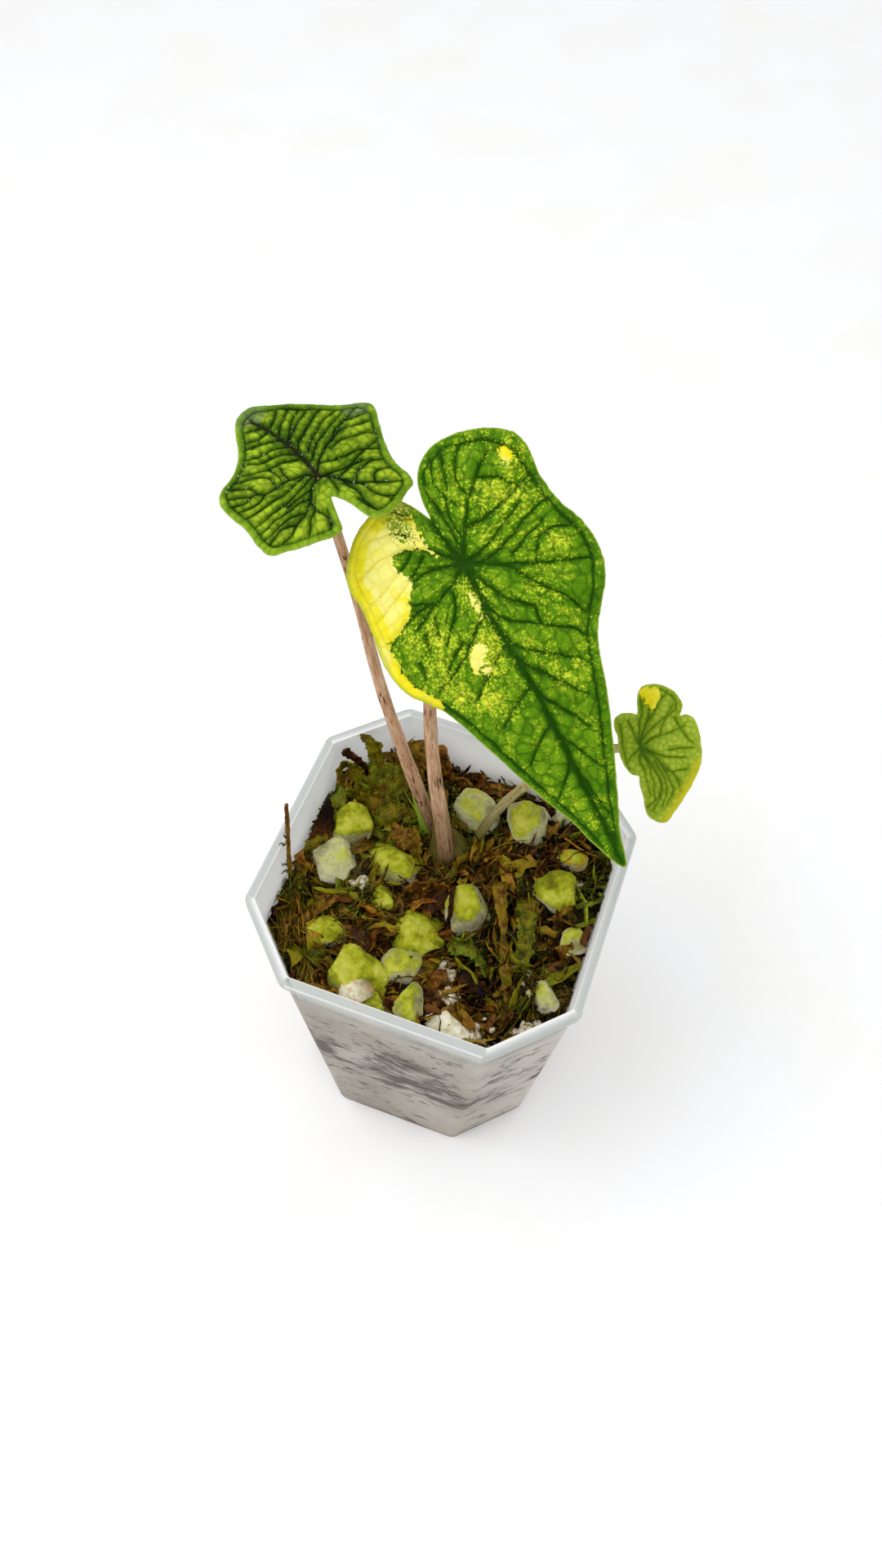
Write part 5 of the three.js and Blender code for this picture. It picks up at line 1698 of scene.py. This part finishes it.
def leaf_stock(seed, width, sides, steps, crease):
    """A leaf of length 1 with a torn edge; the wider ones are cupped, the narrow ones are ribbons."""
    random = np.random.default_rng(seed)
    bends = [[x, random.uniform(-0.1, 0.1), random.uniform(-0.08, 0.08)] for x in np.linspace(0, 1, 5)]
    radii = np.array([0.3, 0.85, 1.0, 0.8, 0.2]) * width * random.uniform(0.7, 1.3, 5)
    cup, turn, twist = [random.uniform(-most, most) for most in (0.8, 0.5, 1.4)]
    leaf = bend_rod(
        "leaf", bends, radii, sides=sides, steps=steps, flat=0.14, cup=cup, turn=turn, twist=twist,
        shape=lambda share, angle: 1 + 0.3 * np.sin(27 * share + 3 * seed + 2 * angle),
    )
    move_corners(leaf, crumple(corners(leaf), crease, 0.2, seed))
    return read_stock(leaf)


def fibre_stock(seed):
    random = np.random.default_rng(seed)
    bends = [[x, random.uniform(-0.06, 0.06), random.uniform(-0.03, 0.05)] for x in np.linspace(0, 1, 4)]
    return read_stock(bend_rod("fibre", bends, [0.014, 0.02, 0.012], sides=4, steps=9))


ribbons = [leaf_stock(seed, 0.06, 6, 10, 0.025) for seed in range(8)]
leaves = [leaf_stock(seed, 0.17, 8, 9, 0.05) for seed in range(40, 48)]
fibres = [fibre_stock(seed) for seed in range(30, 34)]
print("Faces of a ribbon, a leaf and a fibre:", [len(stock[0][1]) for stock in (ribbons, leaves, fibres)])

# %% [markdown]
# A shoot's scales are five corners each: a foot, two sides, a tip and a raised middle, set round the stem
# by a constant turn, as leaves grow. The chips of bark and grit are small chipped lumps.

# %% Stock of shoots and chips


def shoot_stock(seed, scales=11):
    random = np.random.default_rng(seed)
    bends = [[x, random.uniform(-0.07, 0.07), random.uniform(-0.03, 0.05)] for x in np.linspace(0, 1, 4)]
    stem = bend_rod("stem", bends, [0.03, 0.03, 0.02], sides=3, steps=5)
    places, faces = read_stock(stem)
    places, faces = [tuple(p) for p in places], list(faces)
    path = smooth_path(bends, scales + 2)
    for i in range(1, scales + 1):
        turn = 2.4 * i
        size = 0.13 * (1 - 0.5 * i / scales) * random.uniform(0.8, 1.2)
        ahead = (path[i + 1] - path[i - 1]) / np.linalg.norm(path[i + 1] - path[i - 1])
        out = np.array([0, math.cos(turn), math.sin(turn)])
        side = np.cross(ahead, out)
        base = len(places)
        places += [tuple(path[i] + p) for p in (
            -0.2 * size * ahead, size * (0.55 * ahead + 0.5 * side + 0.45 * out),
            size * (1.5 * ahead + 0.95 * out), size * (0.55 * ahead - 0.5 * side + 0.45 * out),
            size * (0.6 * ahead + 0.62 * out),
        )]
        scale_faces = ((0, 1, 4), (1, 2, 4), (2, 3, 4), (3, 0, 4), (0, 3, 2, 1))
        faces += [tuple(base + i for i in face) for face in scale_faces]
    return np.array(places), faces


def chip_stock(seed, thickness):
    chip = chip_lump("chip", (1, 0.3 + 0.6 * thickness, thickness), seed, 2)
    places, faces = read_stock(chip)
    return places + [0.5, 0, 0], faces


shoots = [shoot_stock(seed) for seed in range(20, 23)]
chips = [chip_stock(seed, 0.22) for seed in range(50, 53)]
grits = [chip_stock(seed, 0.8) for seed in range(53, 56)]
print("Faces of a shoot, a chip and a bit of grit:", [len(stock[0][1]) for stock in (shoots, chips, grits)])

# %% [markdown]
# Every spot has a place, a tint and the way the strands lie there. Tint 0 is rotted black-brown, 0.35
# rust, 0.5 tan, 0.75 olive and 1 a living yellow green. A strand takes the values of the nearest spots,
# and varies. Heaps are places where the moss is piled up: behind the stalks, in the back left corner and
# in a few tufts.

# %% Where the moss lies
MOSS_SPOTS = [
    (-35.5, -10.7, 0.62, 80, 40), (-31.0, -20.8, 0.56, -60, 16), (-24.7, -27.5, 0.52, -50, 16),
    (-12.6, -17.2, 0.42, 20, 60), (-20, -10, 0.68, 60, 60), (-5.1, -0.6, 0.33, 10, 40),
    (-9.5, 6.2, 0.68, 60, 40), (-20, 15, 0.7, 50, 60), (-31, 14, 0.72, 70, 50), (-12, 24, 0.64, 20, 60),
    (-4.4, 31.9, 0.4, 0, 60), (-18, 31, 0.44, 40, 70), (10, 33, 0.4, 0, 60), (1.2, 10.2, 0.68, 60, 40),
    (9.8, 6.5, 0.47, 80, 40), (18, 14, 0.4, 60, 70), (26.1, 25.2, 0.36, 20, 70), (32.3, 15.1, 0.8, 70, 60),
    (35, 5, 0.82, 80, 60), (21.6, 0.7, 0.36, 100, 35), (14.2, 1.6, 0.54, 105, 20), (15, -8, 0.5, 105, 25),
    (22, -20.2, 0.52, 105, 25), (29.4, -3.6, 0.45, 90, 50), (12.5, -12.8, 0.86, 20, 60),
    (7.2, -17.7, 0.47, 15, 30), (14.6, -23, 0.2, -30, 50), (29, -22.8, 0.66, 90, 50),
    (20.4, -31.3, 0.45, 0, 70), (8, -27, 0.42, 0, 60), (-20, -30, 0.54, -30, 30), (-32, -4, 0.62, 80, 50),
    (0, -8, 0.42, 30, 60), (30, -12, 0.7, 90, 60), (26, -30, 0.62, 60, 60), (-27, 18, 0.7, 60, 50),
    (-15, 29, 0.42, 40, 70), (-4.5, 24.5, 0.8, 60, 60), (-2, 18, 0.76, 60, 60),
]
HEAPS = [
    (-33, -14, 2.5, 4), (-32, -22, 3, 3), (-27, 17, 4, 2), (-22, 19, 3.5, 1.5), (-15.5, 30, 3.4, 6),
    (-9, 31.5, 3, 4), (-2, 31.5, 3, 1.5), (6, 32.5, 3, 1), (12.5, -12.8, 2.2, 2.5), (33, 8, 2.5, 2),
    (-31, 9, 2, 2),
]
FIBRE_HEAPS = [(-30, -22, 3, 1.6), (-26, -20, 3, 1.4), (-24, -28, 3, 1), (-33, -14, 2, 1.6)]
GRIT_HEAPS = [(10, -26, 2.5, 1), (14, -29, 3, 1), (20.5, -31, 2.5, 1), (8, -20, 1.8, 1), (24, -12, 2, 1),
              (-20, -5, 2, 0.5), (27, 12, 4, 1), (-6, -33, 3, 0.5), (30, -26, 3, 1)]
CROWN_PLACE = np.array([-3.0, 11.0])
CROWN_CLEAR = 5.5
TINT_SPREAD = 0.12


def spot_values(x, y, random):
    """Tint and direction of a strand at a place, from the three nearest spots."""
    spots = np.array(MOSS_SPOTS)
    gap = np.hypot(spots[:, 0] - x, spots[:, 1] - y)
    nearest = spots[np.argsort(gap)[:3]]
    weight = 1 / (np.sort(gap)[:3] + 2) ** 2
    spot = nearest[random.choice(3, p=weight / weight.sum())]
    return spot[2] + random.normal(0, TINT_SPREAD), math.radians(spot[3] + random.normal(0, spot[4]))


def free_place(random, margin=1.5, over=0.82):
    """A random place in the pot that no stone's top and no stalk covers."""
    across, flat = pot_section(MIX_HEIGHT, WALL + WALL_GAP + margin)
    while True:
        x, y = random.uniform(-across, across, 2)
        if abs(x) + abs(y) > across + flat:
            continue
        covered = any(math.hypot(x - s[0], y - s[1]) < over * (s[2] + s[3]) / 4 for s in STONES)
        if not covered and np.linalg.norm(CROWN_PLACE - (x, y)) > CROWN_CLEAR:
            return x, y, 0.0


def heap_place(heaps):
    """A function that gives random places on the heaps, with their height over the bed."""
    def place(random):
        x, y, spread, height = heaps[random.integers(len(heaps))]
        out = random.normal(0, 0.6, 2)
        up = height * math.exp(-(out @ out)) * random.uniform(0, 1)
        return x + spread * out[0], y + spread * out[1], up
    return place


print("Spots and heaps of moss:", len(MOSS_SPOTS), len(HEAPS))

# %% [markdown]
# One function lays all copies of a kind in one mesh. Every copy gets a tint from its spot, and is paler
# the higher it lies and darker the lower, partly as dry moss is and partly as painted light and shade of
# the mix's depth. Towards the right a painted shadow of the big leaf darkens the copies. The grain, which
# the finish reads, runs along each copy.

# %% Laying copies
# SHADE, from SHADE_FROM over SHADE_WIDTH, is the big leaf's painted shadow.
SHADE = 0.3
SHADE_FROM = 6
SHADE_WIDTH = 12


def lay_copies(name, stock, count, length, lift, tilt, seed, plump=1.0, shift=0.0, places_of=free_place):
    random = np.random.default_rng(seed)
    all_places, all_faces, total = [], [], 0
    kept = {"tint": [], "pale": [], "edge": [], "grain": []}
    for _ in range(count):
        shape, faces = stock[random.integers(len(stock))]
        x, y, heap = places_of(random)
        tint, direction = spot_values(x, y, random)
        size = random.uniform(*length)
        fat = size * plump * random.uniform(0.7, 1.3)
        lean = math.radians(random.normal(*tilt))
        turn = (
            Matrix.Rotation(direction, 3, "Z") @ Matrix.Rotation(-lean, 3, "Y")
            @ Matrix.Rotation(random.uniform(-0.9, 0.9), 3, "X")
        )
        middle = shape - [0.5, 0, 0]
        bow = middle[:, 0] ** 2 * random.uniform(-0.5, 0.25)
        curved = np.column_stack([middle[:, 0] * size, middle[:, 1] * fat, middle[:, 2] * fat + bow * size])
        rise = random.uniform(*lift)
        all_places.append(curved @ np.array(turn).T + (x, y, mix_height(x, y) + rise + heap))
        all_faces += [tuple(i + total for i in face) for face in faces]
        on_top = (rise - lift[0]) / (lift[1] - lift[0])
        # Painted light and shade: high copies are paler, low ones darker, and the right lies in a painted
        # shadow.
        pale = 1.35 * on_top * random.uniform(0, 1) ** 1.3 - 0.45 * (1 - on_top)
        pale -= SHADE * np.clip((x - SHADE_FROM) / SHADE_WIDTH, 0, 1)
        sideways = np.abs(shape[:, 1])
        kept["tint"].append(np.full(len(shape), tint + shift))
        # edge marks each copy's sides, for the painted highlights of the moss finish.
        kept["pale"].append(np.full(len(shape), pale))
        kept["edge"].append((sideways / sideways.max()) ** 4)
        kept["grain"].append((shape * [0.3, 1, 1] * size + 7 * total) * MM)
        total += len(shape)
    piece = mesh_object(name, keep_inside_pot(np.vstack(all_places)), all_faces)
    for key, values in kept.items():
        write_attribute(piece, key, np.concatenate(values))
    make_active(piece)
    bpy.ops.object.shade_smooth()
    return piece


# %% [markdown]
# The kinds are laid one over another, as the mix settles: many ribbons and leaves fill the bed, shoots and
# small leaves heap up on it, thin fibres lie on top, and bark and grit are strewn between. Each row says
# how many there are, how long in millimetres, how far over the bed they lie, and how they lean.

# %% All the copies
moss_ribbons = lay_copies("moss_ribbons", ribbons, 1200, (7, 18), (-1.0, 2.4), (5, 15), seed=1)
moss_leaves = lay_copies("moss_leaves", leaves, 800, (5, 13), (-0.8, 2.6), (12, 22), seed=4)
moss_shoots = lay_copies("moss_shoots", shoots, 320, (5, 11), (-0.3, 2.6), (10, 20), seed=2, plump=1.2)
moss_heaps = lay_copies(
    "moss_heaps", leaves + ribbons, 420, (3.5, 8), (-1.0, 1.0), (20, 30), seed=6,
    places_of=heap_place(HEAPS),
)
dry_fibres = lay_copies("dry_fibres", fibres, 450, (6, 16), (0.6, 3.6), (4, 9), seed=8, shift=0.04)
fine_fibres = lay_copies(
    "fine_fibres", fibres, 420, (6, 13), (0.8, 3.4), (4, 12), seed=12, plump=0.6, shift=0.05,
    places_of=heap_place(FIBRE_HEAPS),
)
bark_chips = lay_copies("bark_chips", chips, 110, (3, 7), (0.2, 2.2), (0, 20), seed=9)
white_grit = lay_copies(
    "white_grit", grits, 90, (1.2, 3.4), (1.2, 3.0), (0, 30), seed=10, places_of=heap_place(GRIT_HEAPS),
)
print("Faces of all ribbons and leaves:", len(moss_ribbons.data.polygons), len(moss_leaves.data.polygons))

# %% [markdown]
# Long-fibred sphagnum is dried moss that was soaked again. Its cells are empty and fill with water, so a
# damp leaf is translucent and slightly glossy. One ramp gives all its colours from the tint, with painted
# shade between the ridges of a strand and painted light on them, and painted highlights along the sides
# of each flat strand. The real ridges are rows of cells, far too fine to show, so they are drawn half a
# millimetre wide. Some light comes through from behind, which the Translucent shader adds.

# %% Moss finish
LIGHT_THROUGH = 0.25


def damp_sphagnum():
    material, tree = new_finish("damp_sphagnum")
    along = add(tree, "Attribute", attribute_name="grain", out="Vector")
    place = add(tree, "TexCoord", out="Object")
    tint, edge, pale = [
        add(tree, "Attribute", attribute_name=key, out="Fac") for key in ("tint", "edge", "pale")
    ]
    streak = add(tree, "TexNoise", {"Vector": along, "Scale": per_mm(0.5), "Detail": 4.0, "Roughness": 0.6})
    cloud = add(tree, "TexNoise", {"Vector": place, "Scale": per_mm(2.0), "Detail": 4.0})
    shade = add(tree, "MapRange", {
        "Value": cloud, "From Min": 0.3, "From Max": 0.7, "To Min": -0.14, "To Max": 0.14,
    })
    tint = add(tree, "Math", {0: tint, 1: shade}, operation="ADD")
    tint = add(tree, "Math", {0: edge, 1: 0.1, 2: tint}, operation="MULTIPLY_ADD")
    hue = add(tree, "ValToRGB", {"Fac": tint}, stops=[
        (0.0, "#120903"), (0.2, "#3A1E06"), (0.35, "#6E3F0C"), (0.5, "#9A7220"), (0.62, "#826C12"),
        (0.75, "#7E7A10"), (0.88, "#5C6A10"), (1.0, "#7E8A1C"),
    ])
    light = add(tree, "MapRange", {
        "Value": streak, "From Min": 0.32, "From Max": 0.68, "To Min": -0.1, "To Max": 0.95,
    })
    # pale brings each copy's painted light and shade of depth, edge the painted highlights on its sides.
    for layer, weight in ((pale, 1.3), (edge, 0.7)):
        light = add(tree, "Math", {0: layer, 1: weight, 2: light}, operation="MULTIPLY_ADD")
    light = add(tree, "Math", {0: light, 1: 0.04}, operation="MAXIMUM")
    colour = add(tree, "VectorMath", {0: hue, "Scale": light}, operation="SCALE")
    relief = add(tree, "Bump", {"Height": streak, "Strength": 0.9, "Distance": 0.5 * MM})
    wet = add(tree, "BsdfPrincipled", {
        "Base Color": colour, "Roughness": 0.3, "IOR": 1.4, "Normal": relief, "Specular IOR Level": 0.18,
    })
    through = add(tree, "BsdfTranslucent", {"Color": colour, "Normal": relief})
    both = add(tree, "MixShader", {"Fac": LIGHT_THROUGH, 1: wet, 2: through})
    add(tree, "OutputMaterial", {"Surface": both})
    return material


moss_finish = damp_sphagnum()
for piece in (bed, moss_ribbons, moss_leaves, moss_shoots, moss_heaps, dry_fibres, fine_fibres):
    hand_over(piece, "growing_mix", material=moss_finish)

# %% [markdown]
# The bark is composted pine bark, torn into chips. A torn face shows the fibres it grew in, nearly black
# where it is wet and red-brown where it is fresh, and it is rough and dull. Real fibres are finer than
# the render can show, so they are drawn 0.6 mm wide.

# %% Bark finish


def wet_pine_bark():
    material, tree = new_finish("wet_pine_bark")
    along = add(tree, "Attribute", attribute_name="grain", out="Vector")
    tint = add(tree, "Attribute", attribute_name="tint", out="Fac")
    fibre = add(tree, "TexNoise", {"Vector": along, "Scale": per_mm(0.6), "Detail": 5.0, "Roughness": 0.7})
    tone = add(tree, "Math", {0: fibre, 1: 0.9, 2: tint}, operation="MULTIPLY_ADD")
    colour = add(tree, "ValToRGB", {"Fac": tone}, stops=[
        (0.45, "#120904"), (0.62, "#2A1708"), (0.8, "#4A2C10"), (0.95, "#70461F"),
    ])
    relief = add(tree, "Bump", {"Height": fibre, "Strength": 0.9, "Distance": 0.4 * MM})
    bark = add(tree, "BsdfPrincipled", {
        "Base Color": colour, "Roughness": 0.55, "Normal": relief, "Specular IOR Level": 0.06,
    })
    add(tree, "OutputMaterial", {"Surface": bark})
    return material


bark_finish = wet_pine_bark()
hand_over(bark_chips, "growing_mix", material=bark_finish)

# %% [markdown]
# The white grit is expanded perlite, a volcanic glass that was heated until it popped like corn. It is a
# matt white foam, because its broken bubbles scatter all light. They are too small to show, so only the
# soil that clings to it is drawn, in specks of nearly a millimetre.

# %% Perlite finish


def expanded_perlite():
    material, tree = new_finish("expanded_perlite")
    place = add(tree, "TexCoord", out="Object")
    dust = add(tree, "TexNoise", {"Vector": place, "Scale": per_mm(0.9), "Detail": 4.0, "Roughness": 0.65})
    colour = add(tree, "ValToRGB", {"Fac": dust}, stops=[
        (0.34, "#5A4628"), (0.46, "#AC9E7C"), (0.64, "#E4DEC8"),
    ])
    relief = add(tree, "Bump", {"Height": dust, "Strength": 0.5, "Distance": 0.2 * MM})
    foam = add(tree, "BsdfPrincipled", {
        "Base Color": colour, "Roughness": 0.85, "Normal": relief, "Specular IOR Level": 0.12,
    })
    add(tree, "OutputMaterial", {"Surface": foam})
    return material


hand_over(white_grit, "growing_mix", material=expanded_perlite())

# %% [markdown]
# ### Strands laid one by one
# The larger pieces of moss that anyone would recognise are placed one by one, on the CAD's paths: the
# long tan strand at the right, the dark stick beside it, the curled clump behind the stalks, and the tall
# olive sprig that climbs the back left corner. Their edges are ragged, which a wavering radius gives, and
# they are crumpled like the small ones. A row gives the path, the half widths, flatness, tint and cup.

# %% Long strands
MIX_STRANDS = [
    ([[-19, 26, 77], [-21.8, 28.6, 86], [-21, 31, 90], [-18.6, 32.6, 92], [-16.8, 31.6, 89]],
     [2.0, 2.2, 2.2, 1.8, 0.8], 0.25, 0.46, 0.6),
    ([[-16, 28, 77], [-15.4, 30.6, 87], [-13.2, 32.4, 90.5], [-11, 32, 88.6], [-10, 30.4, 85.4]],
     [1.8, 2.4, 2.2, 1.7, 0.8], 0.25, 0.4, -0.6),
    ([[-14, 27, 77], [-17.6, 29.4, 87], [-17, 32.2, 92.6], [-14.4, 32.8, 92]],
     [1.6, 2.0, 2.0, 0.8], 0.3, 0.5, 0.5),
    ([[-8.6, 29, 77], [-8.3, 31, 82.4], [-5.1, 31.4, 84], [-3, 30.8, 80.4]],
     [0.9, 1.5, 1.4, 0.7], 0.4, 0.38, 0.6),
    ([[-2, 30.8, 78], [1.2, 31.6, 83], [4, 31.8, 83.4], [7.4, 30.8, 79.6]],
     [0.8, 1.3, 1.2, 0.6], 0.4, 0.42, -0.6),
    ([[11.6, 7.4, 82], [12.8, 4.4, 87], [16.3, -4.4, 87.8], [19.8, -13.6, 87], [22.6, -20.4, 85],
      [25.2, -27, 81.5]], [1.9, 1.8, 0.8, 1.1, 1.3, 0.8], 0.3, 0.54, 0.4),
    ([[17.4, 6, 82], [19.8, 2, 86], [22.2, -5, 87], [23.4, -12, 86], [23, -16, 83]],
     [1.0, 1.8, 2.1, 1.8, 0.8], 0.25, 0.78, -0.3),
    ([[21, 8, 81], [21.6, 4, 86], [22.8, -0.5, 86.6], [24.6, -4, 83]], [0.9, 1.3, 1.1, 0.4], 0.3, 0.6, 0.6),
    ([[-27.6, -18, 82], [-26.4, -16.6, 85], [-22.8, -12.6, 88]], [1.0, 1.1, 0.8], 0.8, 0.4, 0),
    ([[2.2, 1.6, 84], [2.6, -1, 89], [3.4, -4.7, 90], [4.8, -10, 84.6]],
     [0.6, 0.6, 0.6, 0.5], 1.0, 0.12, 0),
    ([[-7, -3.4, 82], [-5.2, -2.4, 86], [0, -1, 86.4], [2, -3.4, 83]],
     [2.0, 2.8, 2.6, 1.4], 0.3, 0.36, 0.4),
    ([[7, -10, 82], [8.3, -13.6, 86.6], [13, -14.6, 88.6], [17.9, -18.6, 85]],
     [1.6, 2.2, 2.0, 0.8], 0.4, 0.88, 0.4),
    ([[8, -19, 82], [12, -19.6, 86.4], [17, -22, 85.6], [20.6, -26, 81]],
     [1.4, 1.9, 1.7, 0.8], 0.45, 0.12, 0),
    ([[-24, 9, 80], [-22, 12, 86.5], [-17, 15, 88], [-12.5, 15, 86]],
     [1.8, 3.0, 3.0, 1.2], 0.2, 0.68, 0.5),
    ([[-19, 9, 82], [-16, 9.6, 86], [-11.6, 8.4, 86.4], [-9, 6.6, 83]],
     [1.4, 2.4, 2.2, 0.8], 0.2, 0.5, -0.6),
]


def ragged(seed):
    """A wavering factor on a rod's radius."""
    def shape(share, angle):
        places = np.column_stack([share * 26, 1.2 * np.cos(angle), 1.2 * np.sin(angle)])
        return 1 + 0.5 * grain(places, 1.0, seed) + 0.25 * grain(places, 0.4, seed + 9)
    return shape


def ragged_strand(name, points, radii, flat, tint, cup, seed, blotch=0.18, fold=2.2, crease=0.45, **faces):
    """A crumpled strand. The flatter it is, the limper, so a stick stays nearly straight."""
    strand = bend_rod(name, points, radii, flat=flat, cup=cup, shape=ragged(seed), **faces)
    limp = 1.15 - flat
    places = corners(strand)
    for amount, size, shift in ((0.36 * fold, fold, 0), (crease, 1.0, 5), (0.4 * crease, 0.5, 9)):
        places = crumple(places, amount * limp, size, seed + shift)
    write_attribute(strand, "tint", tint + blotch * grain(places, 2.4, seed))
    write_attribute(strand, "pale", 0.3 + 0.6 * grain(places, 0.7 * fold, seed + 7))
    move_corners(strand, keep_inside_pot(places))
    return strand


long_strands = join("long_strands", [
    ragged_strand(f"strand_{i}", *strand, seed=60 + i, sides=16, steps=80)
    for i, strand in enumerate(MIX_STRANDS)
])
tidy_surface(long_strands)
hand_over(long_strands, "growing_mix", material=moss_finish)

# %% [markdown]
# ### Tall sprig
# The tallest moss is a torn olive sprig: a broad leaf whose tip curls over, ragged fronds that make a
# loop, a dark broken stick and a sheet that leans on the stalks. It is made as the strands are.

# %% Tall sprig
SPRIG_STRANDS = [
    ([[-24.5, 17, 76], [-25.4, 20.5, 84], [-26.4, 24.6, 90], [-27.9, 26.6, 94.5], [-29.8, 27, 96.6],
      [-32, 26.6, 95.4]], [2.4, 3.2, 2.6, 2.2, 1.8, 1.0], 0.16, 0.7, 0.4),
    ([[-25, 18, 78], [-28.6, 23.6, 86], [-32.2, 23.4, 91.4], [-35, 22.4, 95]],
     [1.3, 1.2, 1.0, 0.9], 0.7, 0.2, 0),
    ([[-26, 18, 78], [-29, 20.8, 87], [-31.6, 21.8, 91], [-34, 21, 92], [-35, 19, 90.6],
      [-33.6, 17.4, 88.2]], [1.8, 2.0, 1.8, 1.6, 1.3, 0.7], 0.2, 0.66, 0.5),
    ([[-27, 15, 77], [-28.3, 15.6, 84], [-24.2, 19.4, 88.6], [-18.7, 22, 89], [-15.6, 22.6, 85]],
     [2.6, 4.2, 5.0, 4.4, 1.8], 0.1, 0.72, 0.3),
    ([[-24, 14, 76], [-25.5, 16, 86], [-28, 17.6, 88.5], [-29.8, 16.8, 87]],
     [2.0, 3.0, 2.2, 0.7], 0.14, 0.76, -0.5),
    ([[-24.2, 15, 72], [-24.6, 16.5, 78], [-25.4, 18, 84]], [2.6, 3.4, 2.4], 0.9, 0.62, 0),
    ([[-25, 13, 78], [-26.4, 14, 85], [-24, 15.6, 88], [-20, 16.4, 87.6]],
     [1.6, 3.2, 3.4, 1.4], 0.12, 0.66, 0.4),
]
sprig = join("moss_sprig_ragged", [
    ragged_strand(
        f"sprig_{i}", *strand, seed=80 + i, sides=24, steps=110, blotch=0.11, fold=2.7, crease=0.34,
    ) for i, strand in enumerate(SPRIG_STRANDS)
])
tidy_surface(sprig)
hand_over(sprig, "moss_sprig", material=moss_finish)

# %% [markdown]
# ## Crown
# The crown is the plant's short stem. The bases of old leaves wrap it in olive-brown fibres, and one old
# sheath still shows a pale green tip. It is a thick bent rod with a rough skin.

# %% Crown
CROWN_POINTS = [[-1.5, 10, 64], [-1.5, 10.2, 70], [-1.8, 10.6, 78], [-2.4, 11, 83], [-3.8, 11.8, 87],
                [-5.4, 12.6, 90.5], [-6.4, 13.2, 93]]
CROWN_RADII = [3, 6, 7.2, 6.6, 5, 3, 1.2]
SHEATH_POINTS = [[-8.4, 12, 80], [-10.4, 13.8, 88], [-12.3, 15, 92.5], [-14.4, 16.6, 97]]


def fibrous(share, angle):
    places = np.column_stack([share * 3, 3 * np.cos(angle), 3 * np.sin(angle)])
    ribs = 0.05 * np.cos(17 * angle + 3 * share) + 0.03 * np.cos(41 * angle)
    return 1 + 0.12 * grain(places, 0.5, 31) + 0.06 * grain(places, 0.2, 33) + ribs


crown = bend_rod("crown_fibrous", CROWN_POINTS, CROWN_RADII, sides=72, steps=60, shape=fibrous)
tidy_surface(crown)
old_sheath = petiole_skin("old_leaf_sheath", "#8E7C40", "#6B5828", "#463511", "#2C1B08", "#58501C")
hand_over(crown, "crown", material=old_sheath)
sheath = bend_rod("sheath_tip", SHEATH_POINTS, [1.6, 1.5, 1.1, 0.4], sides=16, steps=40, flat=0.4)
tidy_surface(sheath)
young_sheath = petiole_skin("young_leaf_sheath", "#B9CF4A", "#9CBC34", "#7FA022", "#5E7A1A", "#6E8A22")
hand_over(sheath, "crown", material=young_sheath)

# %% [markdown]
# ## Twig, bark shred and stick
# A thin twig leans on the left wall and looks over the lip. It is red-brown at its tip and green with
# moss lower down, and a tuft of five small mossy shoots sits on it. The twig is a rod with a wavering
# radius, and the shoots are those of the moss stock, turned from their start to their end.

# %% Twig and its tuft
TWIG_POINTS = [[-34.9, -12, 72], [-35.6, -10.4, 82], [-36.2, -7.4, 97], [-36.7, -4.6, 110]]
TUFT = [
    ([-36.3, -7.2, 97.4], [-39.4, -6.6, 99.4]), ([-36.2, -7.6, 97.0], [-38.8, -9.6, 98.6]),
    ([-36.3, -7.0, 97.8], [-38.2, -5.2, 100.6]), ([-35.9, -9.0, 88.6], [-38, -10.6, 91]),
    ([-35.8, -9.2, 88.2], [-36.6, -12.2, 89.6]),
]
RED_ABOVE = 114
TINT_FADE = 40

twig = bend_rod("twig_thin", TWIG_POINTS, [0.6, 0.55, 0.5, 0.45], sides=12, steps=60, shape=ragged(3))
write_attribute(twig, "tint", np.clip((RED_ABOVE - corners(twig)[:, 2]) / TINT_FADE, 0.36, 0.85))
write_attribute(twig, "pale", 0.35)
tidy_surface(twig)
hand_over(twig, "twig", material=moss_finish)
tuft_places, tuft_faces, total = [], [], 0
for i, (start, end) in enumerate(TUFT):
    shape, faces = shoots[i % len(shoots)]
    reach = Vector(end) - Vector(start)
    turn = np.array(reach.to_track_quat("X", "Z").to_matrix()) * reach.length
    tuft_places.append((shape * [1, 1.6, 1.6]) @ turn.T + start)
    tuft_faces += [tuple(corner + total for corner in face) for face in faces]
    total += len(shape)
tuft = mesh_object("twig_tuft", keep_inside_pot(np.vstack(tuft_places)), tuft_faces)
write_attribute(tuft, "tint", 0.86)
write_attribute(tuft, "pale", 0.3)
write_attribute(tuft, "grain", corners(tuft) * MM)
hand_over(tuft, "twig", material=moss_finish)

# %% [markdown]
# A dark shred of bark stands behind the twig, paler at its foot, and a short red-brown stick leans on the
# right wall. Both are wavering rods again, the shred pressed flat and cupped as bark peels.

# %% Bark shred and stick
BARK_POINTS = [[-31.6, -0.4, 76], [-32.4, 2.6, 83], [-32.6, 5.6, 89], [-32.6, 8.2, 94.5]]
STICK_POINTS = [[35, -8, 76], [35.2, -4.6, 83], [35.4, -0.4, 92]]
SHRED_PALE_BELOW = 84

shred = bend_rod(
    "bark_shred_torn", BARK_POINTS, [3.0, 3.6, 2.4, 0.7], sides=24, steps=70, flat=0.4, cup=0.4,
    shape=ragged(12),
)
write_attribute(shred, "tint", np.clip(0.6 - (corners(shred)[:, 2] - SHRED_PALE_BELOW) / 12, 0.0, 0.6))
stick = bend_rod("stick_short", STICK_POINTS, [0.8, 0.8, 0.7], sides=14, steps=40, shape=ragged(22))
write_attribute(stick, "tint", 0.42)
for piece, node in ((shred, "bark_shred"), (stick, "stick")):
    move_corners(piece, keep_inside_pot(corners(piece)))
    tidy_surface(piece)
    hand_over(piece, node, material=bark_finish)
